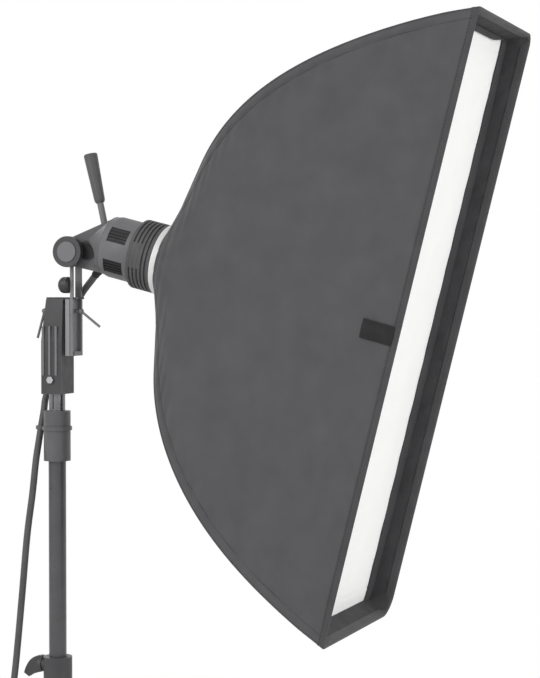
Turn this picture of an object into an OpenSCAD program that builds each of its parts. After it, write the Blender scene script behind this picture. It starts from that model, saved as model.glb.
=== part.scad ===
// Strip softbox on a flash head, carried by a tilt fork on a three-legged studio stand.
// Millimetres, +Z up, origin on the floor under the column, +X the way the light points.

/* [Stand] */
// Outside diameter of the base column
column_d = 35; // [32:0.5:40]
// Wall of the base column
column_wall = 2.5; // [2:0.1:3]
// Height of the column's lower end above the floor
column_foot_z = 48; // [40:1:60]
// Thickness of the column's floor
column_floor = 5; // [4:0.5:8]
// Thickness of the flange under the lowest leg hub
flange_t = 3.7; // [3:0.1:6]
// Height of the stop ring above the leg hubs
stop_h = 8; // [6:0.5:12]
// Height of the column's upper end above the floor
column_top_z = 643; // [560:1:720]
// Outside diameter of the locking collar
lock_d = 46; // [44:0.5:60]
// Height of the locking collar
lock_h = 52; // [44:1:70]
// Length of column that the locking collar covers
lock_grip = 8; // [6:0.5:14]
// Outside diameter of the riser tube
riser_d = 28; // [24:0.5:28.5]
// Wall of the riser tube
riser_wall = 2; // [1.5:0.1:3]
// Length of riser that shows between its collar and the locking collar
riser_show = 315; // [240:1:330]
// Length of riser inside the column
riser_insert = 327; // [280:1:335]
// Length of the guide bush at the riser's lower end
bush_h = 24; // [15:1:40]
// Diameter of the riser's top collar
collar_d = 43; // [38:0.5:46]
// Height of the riser's top collar
collar_h = 80; // [60:1:90]
// Depth of the riser in its top collar
collar_grip = 66; // [40:1:70]
// Diameter of the slotted neck
neck_d = 26; // [22:0.5:32]
// Height of the slotted neck
neck_h = 27; // [20:1:36]
// Diameter of the spigot, the usual five-eighths of an inch
spigot_d = 15.9; // [12:0.1:18]
// Depth of the spigot in the neck
spigot_root = 24; // [12:1:26]
// Distance of the spigot's top below the top plate
spigot_short = 6; // [4:0.5:10]
// Width and depth of the neck's slots
neck_slot = [3, 2];

/* [Legs] */
// Distance from the column to the middle of each foot
leg_reach = 480; // [380:5:600]
// Outside diameter of a leg tube
leg_d = 22; // [18:0.5:26]
// Diameter of a leg's hub
hub_d = 48; // [44:1:60]
// Height of a leg's hub
hub_h = 40; // [32:1:48]
// Diameter of a rubber foot
foot_d = 36; // [32:1:48]
// Height of a rubber foot
foot_h = 24; // [18:1:32]
// Diameter of the post that stands in a foot
post_d = 26; // [20:0.5:28]

/* [Stand head] */
// Reach of the stand-head block behind the column
block_back = 17; // [15:0.5:20]
// Reach of the block in front of the column
block_front = 19; // [18:0.5:22.5]
// Width of the block across the light
block_w = 44; // [38:0.5:46]
// Height of the block
block_h = 151; // [130:1:180]
// Height of the part of the block that is drawn in towards its top
block_taper_h = 66; // [40:1:75]
// Reach of the block behind the column at its top
block_top_back = 10.5; // [10.5:0.5:14]
// Width of the block at its top
block_top_w = 34; // [28:0.5:38]
// Number of upright ribs on each side of the block
rib_count = 3; // [1:1:3]
// Distance from one rib to the next
rib_pitch = 11.5; // [8:0.5:12]
// Distance of the first rib from the block's rear edge
rib_in = 3.5; // [3.5:0.5:6]
// Width of a rib
rib_w = 3.5; // [2:0.5:5]
// Height of a rib above the block's side
rib_t = 1.5; // [1:0.1:1.8]
// Length of the ribs
rib_l = 78; // [40:1:80]
// Height of the ribs' lower ends above the block's foot
rib_rise = 30; // [29.5:0.5:40]
// Thickness of the top plate
plate_t = 3; // [2:0.1:5]
// Reach of the top plate behind the column
plate_back = 13; // [11:0.5:16]
// Reach of the top plate in front of the column
plate_front = 43; // [42:0.5:50]
// Height of the tilt pivot above the top plate
pivot_rise = 72; // [70:0.5:100]
// Distance of the tilt pivot in front of the column
pivot_x = 33; // [30:0.5:37]
// Widths of the near and far fork cheeks, seen from the side
cheek_w = [4.5, 10];
// Widths of the near and far cheeks below the top plate
shank_w = [7.3, 10.5];
// Distances of the near and far cheeks' rear edges below the top plate in front of the column
shank_x = [23.2, 27];
// Thickness of a fork cheek
cheek_t = 5; // [4:0.5:7]
// Distances of the near and far cheeks' rear edges in front of the column
cheek_x = [31.5, 27];
// Length of the fork below the top plate
fork_drop = 93; // [70:1:110]
// Thickness of the fork's bottom web
fork_web = 7; // [5:0.5:12]
// Thickness of the fork's core
fork_core_t = 6; // [5.5:0.5:7]
// Diameter of the eye at the top of each cheek
eye_d = 24; // [18:0.5:30]
// Diameter of the tilt pivot bolt
pivot_d = 10; // [8:0.5:12]
// Width of the pivot bolt's head across its flats
bolt_head_w = 17; // [15:0.5:20]
// Thickness of the pivot bolt's head
bolt_head_t = 6; // [4:0.5:8]
// Diameter of the tilt knob
knob_d = 49; // [40:0.5:56]
// Thickness of the tilt knob with its hub
knob_t = 15.5; // [14:0.5:22]
// Number of grip notches round the tilt knob
knob_notches = 40; // [20:1:48]
// Radius of the grip notches
notch_r = 0.8; // [0.6:0.1:1.2]
// Diameter of the tilt knob's hub and of its raised face
knob_hub_d = 32; // [24:0.5:34]
// Distance of the tilt knob's disc from its hub's end
knob_disc_at = 4.5; // [3:0.1:6]
// Depth of the tilt knob's face outside its disc
knob_face_t = 1.5; // [1:0.1:3]
// Diameter of the domed drag knob
drag_d = 26; // [20:0.5:28]
// Length of the drag knob
drag_l = 20; // [14:0.5:22]
// Height of the drag knob's axis above the top plate
drag_rise = 19.5; // [16:0.5:24]
// Diameter of the drag knob's screw
drag_screw_d = 3; // [2.5:0.5:3.5]
// Diameter of the lever screws
lever_screw_d = 6; // [5:0.5:8]
// Diameter of the lever rods
lever_rod_d = 4; // [3:0.5:5]
// Depth of both lever screws below the top plate
lever_drop = 22; // [20:0.5:30]
// Length of the front lever
front_lever_l = 41; // [30:1:50]
// Length of the rear lever
rear_lever_l = 45; // [30:1:50]
// Angle of the front lever below the horizontal
front_lever_drop = 37; // [20:1:60]
// Angle of the rear lever below the horizontal
rear_lever_drop = 74; // [60:1:80]
// Distance of the rear lever's ball behind the top plate
rear_lever_out = 9; // [8.5:0.5:12]
// Diameter of the boss behind the block for the rear lever
lever_boss_d = 13; // [11:0.5:16]
// Reach of that boss behind the column
lever_boss_reach = 15.5; // [14:0.5:16]
// Diameter of the block's small bolt
small_bolt_d = 6; // [4:0.5:7]
// Diameter of the small bolt's head
small_bolt_head_d = 12; // [8:0.5:13]
// Height of the small bolt above the block's foot
small_bolt_rise = 22.7; // [15:0.5:60]

/* [Locking screw] */
// Diameter of the locking screw
wing_screw_d = 8; // [6:0.5:10]
// Diameter of the boss on the locking collar
wing_boss_d = 18; // [16:0.5:24]
// Reach of the boss from the column's axis
wing_boss_reach = 26; // [25:0.5:30]
// Distance of the screw's axis below the collar's top
wing_drop = 14; // [10:0.5:20]
// Diameter of the wing's hub
wing_hub_d = 22; // [18:0.5:26]
// Length of the wing's hub
wing_hub_l = 6; // [4:0.5:9]
// Half height of the wing at its hub
wing_root = 14; // [11:0.5:16]
// Drop of the wing's tip below the screw's axis
wing_tip = 21.5; // [16:0.5:24]
// Thickness of the wing
wing_t = 9; // [7:0.5:12]
// Reach of the wing's tip from the column's axis
wing_reach = 59; // [50:0.5:60]

/* [Lamp head] */
// Angle of the light below the horizontal
head_tilt = 14.1; // [0:0.1:24]
// Distance from the pivot to the speed ring's plane, along the head
pivot_back = 133; // [130:0.2:150]
// Distance of the pivot below the head's axis
pivot_low = 24.6; // [20:0.2:28]
// Diameter of the barrel
barrel_d = 97; // [95:0.5:102]
// Wall of the barrel
barrel_wall = 3.5; // [2.5:0.1:5]
// Distance of the barrel's rear end behind the ring plane
barrel_back = 72; // [68:0.5:78]
// Depth of the slope at the barrel's rear end
barrel_ease = 2; // [1:0.1:2.2]
// Distance of the collar's rear end behind the ring plane
grip_back = 20.5; // [18:0.5:26]
// Diameter of the barrel's nose
nose_d = 92; // [88:0.1:93]
// Wall of the nose
nose_wall = 2.5; // [2:0.1:4]
// Distance of the nose's end in front of the ring plane
nose_front = 31; // [27:0.5:32.5]
// Diameter of the ridged collar
grip_d = 110; // [104:0.5:116]
// Number of ridges on the collar
grip_ridges = 6; // [3:1:7]
// Depth of the grooves between the ridges
grip_groove = 2.5; // [1:0.1:3.5]
// Length of the smooth patch on each side of the collar
patch_l = 22; // [14:1:28]
// Height of the smooth patch
patch_h = 40; // [24:1:50]
// Diameter of the tilt lug
lug_d = 44; // [36:0.5:46]
// Width of the tilt lug
lug_w = 22; // [20:0.5:28]
// Wall of the rear cap
cap_wall = 4.5; // [3:0.5:7]
// Distance of the cap's shoulder in front of the fork's eyes
shoulder_room = 3.5; // [3:0.5:5]
// Radius of the recess on each side of the cap
recess_r = 17; // [14:0.5:18]
// Height of the recess above the pivot
recess_up = 3; // [0:0.5:5]
// Reach of the recess in front of the pivot
recess_l = 52; // [44:1:54]
// Length of the vents
vent_l = 33; // [20:1:40]
// Angle that each vent covers
vent_arc = 30; // [20:1:32]
// Angle of the upper vents above the head's side
vent_up = 27; // [20:1:36]
// Angle of the lower vents below the head's side
vent_down = 37; // [28:1:45]
// Number of slats in a vent
vent_slats = 5; // [3:1:6]
// Diameter of the glass dome
glass_d = 76; // [60:0.5:82]
// Length of the straight part of the glass dome
glass_l = 34; // [20:1:50]
// Wall of the glass dome
glass_wall = 2; // [1.5:0.1:3]
// Thickness of the lamp base plate
base_t = 4; // [3:0.5:6]
// Distance of the lamp base plate in front of the ring plane
base_u = 15; // [11:0.5:19]
// Diameter of the flash tube's ring, at the middle of the glass
flash_ring_d = 54; // [46:0.5:60]
// Diameter of the flash tube's glass
flash_tube_d = 8; // [6:0.5:10]
// Height of the flash tube's ring above the base plate
flash_rise = 14; // [10:0.5:20]
// Diameter of the modelling lamp
bulb_d = 26; // [18:0.5:30]
// Length of the modelling lamp
bulb_l = 52; // [42:1:58]
// Distance of the handle's foot behind the ring plane
handle_back = 94.8; // [90:0.2:100]
// Height of the handle's foot above the head's axis
handle_up = 32.7; // [30:0.1:35]
// Lean of the handle away from the light
handle_lean = 26.6; // [15:0.2:35]
// Diameter of the handle's rod
handle_rod_d = 10.5; // [7:0.5:12]
// Length of the rod that shows below the grip
handle_rod_l = 32; // [26:1:44]
// Depth of the rod in the head
handle_root = 10; // [8:0.5:14]
// Depth of the rod in the grip
handle_bore = 40; // [30:1:50]
// Length of the grip
grip_l = 79; // [60:1:90]
// Diameter of the grip at its foot
grip_foot_d = 17; // [16:0.5:20]
// Diameter of the grip near its top
grip_top_d = 22; // [18:0.5:25]

/* [Speed ring] */
// Diameter of the light-coloured clamp ring
clamp_d = 112; // [106:0.5:116]
// Distance of the clamp ring's rear face in front of the ring plane
clamp_u = 20; // [19:0.1:21]
// Thickness of the clamp ring
clamp_t = 13; // [12:0.5:16]
// Diameter of the speed ring
ring_d = 116.6; // [114:0.2:117]
// Bore of the speed ring
ring_bore_d = 94; // [94:0.5:98]
// Thickness of the speed ring
ring_t = 14; // [10:0.5:18]
// Diameter of a rod socket
socket_d = 9; // [8:0.1:9.5]
// Length of a rod socket outside the ring
socket_l = 26; // [18:1:40]
// Diameter of the ring's screw heads
ring_screw_d = 6.4; // [5:0.1:8]

/* [Softbox] */
// Width of the front opening, edge to edge
front_w = 325; // [290:1:380]
// Height of the front opening, edge to edge
front_h = 934; // [860:1:1000]
// Distance of the front edge in front of the ring plane
front_u = 465; // [430:1:500]
// Distance of the fabric's rear edge in front of the ring plane
rear_u = 32; // [31:0.5:32]
// Height of the fabric's corner seams at the ring, from the axis
rear_h = 57; // [56:0.2:59]
// Spread of the corner seams at the ring, from the axis
rear_w = 20.7; // [19:0.1:23]
// Length of the straight stretch of each rod, seen from the side
rod_straight = 112; // [100:1:150]
// Lean of the straight stretch in front of the ring's plane
rod_lean = 19.5; // [16:0.1:22]
// Length of the handle that shapes the rods' bow
rod_bow = 201.5; // [150:0.5:215]
// Thickness of the fabric
cloth_t = 1.2; // [1:0.1:1.5]
// Depth of the front lip in front of the diffuser
lip_depth = 37; // [30:0.5:48]
// Sag of the end panels between their rods
end_sag = 6; // [3:0.5:9]
// Diameter of a spring rod
rod_d = 4; // [3:0.1:4.4]
// Distance of the rods inside the corner seams
rod_inset = 7; // [6.5:0.1:9]
// Width of the hook-and-loop tape
tape_w = 25; // [15:1:40]
// Thickness of the tape
tape_t = 2; // [1.5:0.1:3]
// Cut at each corner of the tape and the diffuser
corner_cut = 14; // [10:0.5:20]
// Distance of the inner baffle in front of the ring plane
baffle_u = 230; // [190:1:270]
// Share of the inside that the baffle covers
baffle_share = 0.8; // [0.6:0.01:0.88]
// Width of the baffle's straps
strap_w = 12; // [8:0.5:18]
// Distance of the straps' ends from the middle of the rods
strap_stop = 5; // [4.8:0.1:6]
// Diameter of the corner pockets
pocket_d = 9; // [8:0.1:10]
// Length of the corner pockets
pocket_l = 20; // [12:1:30]
// Length of the pull tab
tab_l = 52; // [40:1:60]
// Width of the pull tab
tab_w = 28; // [18:1:36]
// Thickness of the pull tab
tab_t = 1.6; // [1:0.1:2.5]
// Distance of the pull tab's front end behind the front edge
tab_back = 8; // [4:0.5:20]

/* [Cable] */
// Diameter of the lamp cable
cable_d = 11; // [9:0.1:11]
// Diameter of the gland at the head
gland_d = 15; // [14:0.5:16]
// Length of the gland outside the head
gland_l = 14; // [12:1:16]
// Room round the cable in its clips
clip_room = 0.8; // [0.6:0.1:1.2]
// Wall of the cable clips
clip_wall = 2; // [1.5:0.1:3]
// Height of the cable clips
clip_h = 6; // [5:0.5:8]
// Loops in the coil, as many inward as outward
coil_loops = 7; // [5:2:9]
// Radius of the coil's outer loop
coil_r = 85; // [80:1:95]
// Distance from one loop to the next
coil_pitch = 11.6; // [11.5:0.1:12]
// Length of straight cable between the coil and the plug
coil_tail = 48; // [46:1:70]
// Diameter of the plug
plug_d = 34; // [28:0.5:35]
// Length of the plug
plug_l = 88; // [70:1:100]
// Width of the coil's tie
tie_w = 20; // [12:1:30]
// Thickness of the coil's tie
tie_t = 0.8; // [0.6:0.1:0.9]

/* [Fits] */
// Clearance of a shaft that turns or slides, on the radius
run_fit = 0.05; // [0.02:0.01:0.1]
// Clearance between pieces that stay apart
gap = 0.3; // [0.2:0.05:0.5]

/* [Hidden] */
$fn = 64;

// Heights of the stand, from the floor up
lock_z = column_top_z - lock_grip;
lock_top_z = lock_z + lock_h;
collar_z = lock_top_z + riser_show;
neck_z = collar_z + collar_h;
block_z = neck_z + neck_h + gap;
plate_z = block_z + block_h;
plate_top_z = plate_z + plate_t;
pivot_z = plate_top_z + pivot_rise;
lever_z = plate_top_z - lever_drop;
wing_z = lock_top_z - wing_drop;
spigot_top_z = plate_z - spigot_short;

// Radii used by more than one piece
column_r = column_d / 2;
column_in_r = column_r - column_wall;
riser_r = riser_d / 2;
spigot_r = spigot_d / 2;
pivot_r = pivot_d / 2;
cable_r = cable_d / 2;
cheek_y = lug_w / 2 + gap;
lug_r = lug_d / 2;
barrel_r = barrel_d / 2;
nose_r = nose_d / 2;
clip_bore_r = cable_r + clip_room;

// Legs: direction of each and the order of their hubs from the bottom
leg_turn = [0, 120, 240];
hub_z = [for (i = [0 : 2]) column_foot_z + flange_t + gap + i * (hub_h + gap)];
stop_z = hub_z[2] + hub_h + gap;

// Cable: hand-chosen points from the gland to the coil, and where it is held
gland_base = [pivot_x + 40, 4, pivot_z - 28.5];
gland_dir = unit([-44, 30, -37]);
gland_root = 6;
gland_end = gland_base + (gland_l + gap / 2) * gland_dir;
cable_pts = [
    gland_end, gland_end + cable_d * gland_dir, [32, 28, plate_top_z + 7.7], [13, 34, plate_top_z - 17.3],
    [3, 35, plate_top_z - 47.3], [0, 34, plate_top_z - 73.3], [-4, 33, plate_top_z - 99.3],
    [-14, 31, block_z + 32.7], [-26, 26, block_z + 10.7], [-31, 20, neck_z + 18], [-31, 14, neck_z - 2],
    [-32, 6, neck_z - 28], [-36, 5, collar_z + 18], [-43, 3, 950], [-52, 0, 880], [-60.5, -4, 780],
    [-72, -10, 655], [-83, -24, 540], [-93, -41, 420], [-102, -58, 300], [-109, -73, 200],
    [-114, -85, 130], [-116, -92, 80], [-118, -84, 41], [-119, -58, 16], [-120, -24, 6.7], [-120, -11, 6.7]];
clip_i = 5;
strap_i = 11;
last_i = len(cable_pts) - 1;
coil_start = cable_pts[last_i];
coil_mid = [coil_start[0] - coil_r, 0, coil_start[2]];
coil_steps = 24;
coil_half = coil_loops / 2;
coil_in_r = coil_r - coil_half * coil_pitch;

function unit(v) = v / norm(v);

// Point on a smooth curve through the listed points, t from 0 to 1 after point i
function curve_pt(p, i, t) =
    let (n = len(p) - 1,
         a = p[max(i - 1, 0)], b = p[i], c = p[min(i + 1, n)], d = p[min(i + 2, n)])
    0.5 * (2 * b + (c - a) * t + (2 * a - 5 * b + 4 * c - d) * t * t
        + (3 * b - a - 3 * c + d) * t * t * t);

// The stretch of a smooth curve from point i to point j, with the given steps a span
function stretch(p, i, j, steps) =
    concat([for (k = [i : j - 1], s = [0 : steps - 1]) curve_pt(p, k, s / steps)], [p[j]]);

// Directions along a list of points
function headings(p) =
    [for (i = [0 : len(p) - 1]) unit(p[min(i + 1, len(p) - 1)] - p[max(i - 1, 0)])];

// Round tube along a list of points; side is a direction that the tube never runs along
module tube(p, r, sides, side, ends) {
    n = len(p);
    along = headings(p);
    dir = [for (i = [0 : n - 1]) i == 0 ? ends[0] : i == n - 1 ? ends[1] : along[i]];
    rings = [for (i = [0 : n - 1])
        let (a = unit(cross(dir[i], side)), b = cross(dir[i], a))
        for (k = [0 : sides - 1]) p[i] + r * (cos(360 * k / sides) * a + sin(360 * k / sides) * b)];
    walls = [for (i = [0 : n - 2], k = [0 : sides - 1])
        let (m = (k + 1) % sides, q = i * sides)
        each [[q + k, q + m, q + sides + k], [q + m, q + sides + m, q + sides + k]]];
    caps = [for (k = [1 : sides - 2])
        each [[0, k + 1, k], [(n - 1) * sides, (n - 1) * sides + k, (n - 1) * sides + k + 1]]];
    polyhedron(rings, concat(walls, caps));
}

// Turns a shape that stands on +Z to lie along a direction
module aim(v) {
    rotate([0, acos(v[2] / norm(v)), atan2(v[1], v[0])]) children();
}

// Base column with its stop ring above the leg hubs
module base_column() {
    color("#2a2a2c") difference() {
        union() {
            translate([0, 0, column_foot_z]) cylinder(r = column_r, h = column_top_z - column_foot_z);
            translate([0, 0, column_foot_z]) cylinder(r = hub_d / 2, h = flange_t);
            translate([0, 0, stop_z]) cylinder(r = hub_d / 2, h = stop_h);
        }
        translate([0, 0, column_foot_z + column_floor]) cylinder(r = column_in_r, h = column_top_z);
    }
}

// Locking collar: seats on the column and guides the riser, with a boss for the locking screw
module lock_collar() {
    color("#39393b") difference() {
        union() {
            translate([0, 0, lock_z]) cylinder(r = lock_d / 2, h = lock_h);
            translate([-wing_boss_reach, 0, wing_z]) rotate([0, 90, 0])
                cylinder(d = wing_boss_d, h = wing_boss_reach);
        }
        translate([0, 0, lock_z - 1]) cylinder(r = column_r + gap / 2, h = lock_grip + 1);
        translate([0, 0, lock_z]) cylinder(r = riser_r + run_fit, h = lock_h + 1);
        translate([-wing_boss_reach - 1, 0, wing_z]) rotate([0, 90, 0])
            cylinder(d = wing_screw_d + 2 * run_fit, h = wing_boss_reach);
    }
}

// Points of a bow from a to c that leans towards b
function lean(a, b, c) = [for (t = [0 : 0.125 : 1]) (1 - t) * (1 - t) * a + 2 * t * (1 - t) * b + t * t * c];

// Locking screw with its hub and its one wing, which droops to its tip
module wing_screw() {
    hub_x = -wing_boss_reach - gap;
    stem_l = -hub_x + wing_hub_l / 2 - riser_r - 1.5;
    tip = [-wing_reach, 6 - wing_tip];
    heel = [9 - wing_reach, -wing_tip];
    color("#39393b") translate([0, 0, wing_z]) {
        translate([hub_x - wing_hub_l / 2, 0, 0]) rotate([0, 90, 0]) cylinder(d = wing_screw_d, h = stem_l);
        translate([hub_x - wing_hub_l, 0, 0]) rotate([0, 90, 0]) cylinder(d = wing_hub_d, h = wing_hub_l);
        rotate([90, 0, 0]) translate([0, 0, -wing_t / 2]) linear_extrude(wing_t) polygon(concat(
            lean([hub_x, wing_root], [-0.85 * wing_reach, 1.05 * wing_root], tip),
            lean(heel, [-0.75 * wing_reach, -0.75 * wing_tip], [hub_x, 2 - wing_root])));
    }
}

// Riser tube with the bush that guides its lower end
module riser_tube() {
    z = lock_top_z - riser_insert;
    color("#1c1c1e") difference() {
        union() {
            translate([0, 0, z]) cylinder(r = riser_r, h = collar_z + collar_grip - z);
            translate([0, 0, z]) cylinder(r = column_in_r - run_fit, h = bush_h);
        }
        translate([0, 0, z - 1]) cylinder(r = riser_r - riser_wall, h = collar_z + collar_grip - z - 9);
    }
}

// Collar on top of the riser
module riser_collar() {
    color("#444446") difference() {
        translate([0, 0, collar_z]) cylinder(d = collar_d, h = collar_h);
        translate([0, 0, collar_z - 1]) cylinder(r = riser_r + run_fit, h = collar_grip + 1);
    }
}

// Slotted neck
module neck() {
    color("#4a4a4c") difference() {
        translate([0, 0, neck_z]) cylinder(d = neck_d, h = neck_h);
        translate([0, 0, neck_z + neck_h - spigot_root]) cylinder(r = spigot_r + run_fit, h = spigot_root + 1);
        for (a = [0 : 60 : 300]) rotate([0, 0, a + 30])
            translate([neck_d / 2 - neck_slot[1], -neck_slot[0] / 2, neck_z + neck_slot[0]])
                cube([neck_slot[0], neck_slot[0], neck_h]);
    }
}

// Spigot that the block turns on
module spigot() {
    z = neck_z + neck_h - spigot_root;
    color("#9a9a9c") translate([0, 0, z]) cylinder(r = spigot_r, h = spigot_top_z - z);
}

// Clip on the riser's collar that holds the cable
module cable_clip() {
    at = cable_pts[strap_i];
    color("#1a1a1a") translate([0, 0, at[2] - clip_h / 2]) difference() {
        union() {
            cylinder(r = collar_d / 2 + gap + clip_wall, h = clip_h);
            translate([at[0], at[1], 0]) cylinder(r = clip_bore_r + clip_wall, h = clip_h);
            rotate([0, 0, atan2(at[1], at[0])]) translate([collar_d / 2 + 1, -3, 0])
                cube([norm([at[0], at[1]]) - collar_d / 2 - clip_bore_r, 6, clip_h]);
        }
        translate([0, 0, -1]) cylinder(r = collar_d / 2 + gap / 2, h = clip_h + 2);
        translate([at[0], at[1], -1]) cylinder(r = clip_bore_r, h = clip_h + 2);
    }
}

// Leg: hub round the column, sloping tube, and the post that stands in the foot
module leg(i) {
    top = [hub_d / 2 - 6, 0, hub_z[i] + hub_h / 2];
    end = [leg_reach, 0, foot_h + leg_d / 2 + 2];
    color("#2a2a2c") rotate([0, 0, leg_turn[i]]) difference() {
        union() {
            translate([0, 0, hub_z[i]]) cylinder(d = hub_d, h = hub_h);
            translate(top) aim(end - top) cylinder(d = leg_d, h = norm(end - top));
            translate([leg_reach, 0, foot_h / 3 + gap]) cylinder(d = post_d, h = end[2] + leg_d / 2 - foot_h / 3);
        }
        translate([0, 0, hub_z[i] - 1]) cylinder(r = column_r + run_fit, h = hub_h + 2);
    }
}

// Rubber cup under a leg's post
module foot(i) {
    color("#151515") rotate([0, 0, leg_turn[i]]) translate([leg_reach, 0, 0]) difference() {
        cylinder(d = foot_d, h = foot_h);
        translate([0, 0, foot_h / 3]) cylinder(d = post_d + 2 * gap, h = foot_h);
    }
}

// Stand-head block: bored for the spigot, drawn in towards its top, ribbed on both sides
module stand_block() {
    taper_z = plate_z - block_taper_h;
    color("#303032") difference() {
        union() {
            translate([-block_back, -block_w / 2, block_z])
                cube([block_back + block_front, block_w, block_h - block_taper_h]);
            hull() {
                translate([-block_back, -block_w / 2, taper_z - 1]) cube([block_back + block_front, block_w, 1]);
                translate([-block_top_back, -block_top_w / 2, plate_z - 1])
                    cube([block_top_back + block_front, block_top_w, 1]);
            }
            for (i = [0 : rib_count - 1])
                translate([rib_in - block_back + i * rib_pitch - rib_w / 2, -block_w / 2 - rib_t, block_z + rib_rise])
                    cube([rib_w, block_w + 2 * rib_t, rib_l]);
            translate([-lever_boss_reach, 0, lever_z]) rotate([0, 90, 0])
                cylinder(d = lever_boss_d, h = lever_boss_reach);
        }
        translate([0, 0, block_z - 1]) cylinder(r = spigot_r + run_fit, h = spigot_top_z - block_z + 1 + gap);
        translate([-2 * block_back, 0, lever_z]) rotate([0, 90, 0])
            cylinder(d = lever_screw_d + 2 * run_fit, h = 2 * block_back - spigot_r - 3);
        translate([0, -spigot_r - 5, block_z + small_bolt_rise]) rotate([90, 0, 0])
            cylinder(d = small_bolt_d + gap, h = block_w);
    }
}

// Small bolt in the near side of the block
module block_bolt() {
    color("#8c8c8e") translate([0, 0, block_z + small_bolt_rise]) rotate([90, 0, 0]) {
        translate([0, 0, spigot_r + 6]) cylinder(d = small_bolt_d, h = block_w / 2 - spigot_r - 5);
        translate([0, 0, block_w / 2 + gap]) cylinder(d = small_bolt_head_d, h = 4, $fn = 6);
    }
}

// Clip on the far side of the block that holds the cable
module block_clip() {
    at = cable_pts[clip_i];
    near_y = block_w / 2 + rib_t + gap / 2;
    color("#1a1a1a") translate([0, 0, at[2] - clip_h / 2]) difference() {
        union() {
            translate([at[0], at[1], 0]) cylinder(r = clip_bore_r + clip_wall, h = clip_h);
            translate([at[0] - 4, near_y, 0]) cube([8, at[1] - near_y - clip_bore_r, clip_h]);
        }
        translate([at[0], at[1], -1]) cylinder(r = clip_bore_r, h = clip_h + 2);
    }
}

// Plate on top of the block, held between the fork's cheeks
module top_plate() {
    color("#7a7a7c") translate([-plate_back, -lug_w / 2, plate_z])
        cube([plate_front + plate_back, lug_w, plate_t]);
}

// Fork: a slim near cheek and a broad far one with eyes, a bottom web and a core
module fork() {
    foot_z = plate_top_z - fork_drop;
    color("#3c3c3e") difference() {
        union() {
            for (i = [0, 1]) translate([0, (2 * i - 1) * (cheek_y + cheek_t / 2) - cheek_t / 2, 0]) {
                translate([cheek_x[i], 0, foot_z]) cube([cheek_w[i], cheek_t, pivot_z - foot_z]);
                translate([shank_x[i], 0, foot_z]) cube([shank_w[i], cheek_t, plate_z - foot_z]);
                translate([pivot_x, cheek_t, pivot_z]) rotate([90, 0, 0]) cylinder(d = eye_d, h = cheek_t);
            }
            translate([shank_x[1], -cheek_y - 1, foot_z]) cube([shank_w[1], 2 * cheek_y + 2, fork_web]);
            translate([shank_x[1], -cheek_y - 1, foot_z])
                cube([fork_core_t, 2 * cheek_y + 2, plate_z - gap - foot_z]);
        }
        translate([pivot_x, 50, pivot_z]) rotate([90, 0, 0]) cylinder(r = pivot_r + run_fit, h = 100);
        translate([shank_x[1] - 1, 0, lever_z]) rotate([0, 90, 0])
            cylinder(d = lever_screw_d + 2 * run_fit, h = fork_core_t + 2);
        translate([cheek_x[0] - 1, -cheek_y - cheek_t / 2, plate_top_z + drag_rise]) rotate([0, 90, 0])
            cylinder(d = drag_screw_d + 2 * run_fit, h = cheek_w[0]);
    }
}

// Pivot bolt through the cheeks and the lug, with its head on the far side
module pivot_bolt() {
    out_y = cheek_y + cheek_t;
    color("#9a9a9c") translate([pivot_x, 0, pivot_z]) rotate([90, 0, 0]) {
        translate([0, 0, -out_y - gap]) cylinder(r = pivot_r, h = 2 * out_y + 1.5 * gap + knob_t - 4);
        translate([0, 0, -out_y - gap - bolt_head_t])
            cylinder(d = bolt_head_w / cos(30), h = bolt_head_t, $fn = 6);
    }
}

// Tilt knob on the near end of the pivot bolt
module tilt_knob() {
    color("#4c4c4e") translate([pivot_x, -cheek_y - cheek_t - 2 * gap, pivot_z]) rotate([90, 0, 0]) difference() {
        union() {
            cylinder(d = knob_hub_d, h = knob_t);
            translate([0, 0, knob_disc_at]) cylinder(d = knob_d, h = knob_t - knob_face_t - knob_disc_at);
        }
        translate([0, 0, -1]) cylinder(r = pivot_r + run_fit, h = knob_t - 2.5);
        for (i = [0 : knob_notches - 1]) rotate([0, 0, 360 * i / knob_notches])
            translate([knob_d / 2 + notch_r / 3, 0, knob_disc_at / 2]) cylinder(r = notch_r, h = knob_t, $fn = 16);
    }
}

// Domed knob on the rear edge of the near cheek
module drag_knob() {
    x = cheek_x[0] - gap;
    color("#2c2c2e") translate([x, -cheek_y - cheek_t / 2, plate_top_z + drag_rise]) rotate([0, -90, 0]) {
        rotate_extrude() polygon(concat([[0, 0], [drag_d / 2 - 3, 0], [drag_d / 2, 3]],
            [for (a = [0 : 10 : 90]) [drag_d / 2 * cos(a), drag_l - 9 + 9 * sin(a)]]));
        translate([0, 0, 1 - cheek_w[0]]) cylinder(d = drag_screw_d, h = cheek_w[0]);
    }
}

// Lock lever: a screw with a ball, and a rod that leaves the ball downward at the given angle
module lock_lever(screw_l, rod_l, drop) {
    color("#b0b0b2") {
        rotate([0, 90, 0]) cylinder(d = lever_screw_d, h = screw_l);
        translate([screw_l, 0, 0]) sphere(d = lever_screw_d + 3);
        translate([screw_l, 0, 0]) aim([cos(drop), 0, -sin(drop)]) cylinder(d = lever_rod_d, h = rod_l);
    }
}

// Lever in front of the fork
module front_lever() {
    x = shank_x[1];
    translate([x, 0, lever_z]) lock_lever(plate_front - x, front_lever_l, front_lever_drop);
}

// Lever behind the block
module rear_lever() {
    x = -spigot_r - 4;
    translate([x, 0, lever_z]) mirror([1, 0, 0])
        lock_lever(plate_back + rear_lever_out + x, rear_lever_l, rear_lever_drop);
}

// Places the lamp head and softbox: local X along the light, origin in the speed ring's plane
module on_head() {
    translate([pivot_x, 0, pivot_z]) rotate([0, head_tilt, 0]) translate([pivot_back, 0, pivot_low]) children();
}

// Solid of revolution about the head's axis from points of distance along it and radius
module turned(points) {
    rotate([0, 90, 0]) rotate_extrude() polygon([for (p = points) [p[1], p[0]]]);
}

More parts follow.
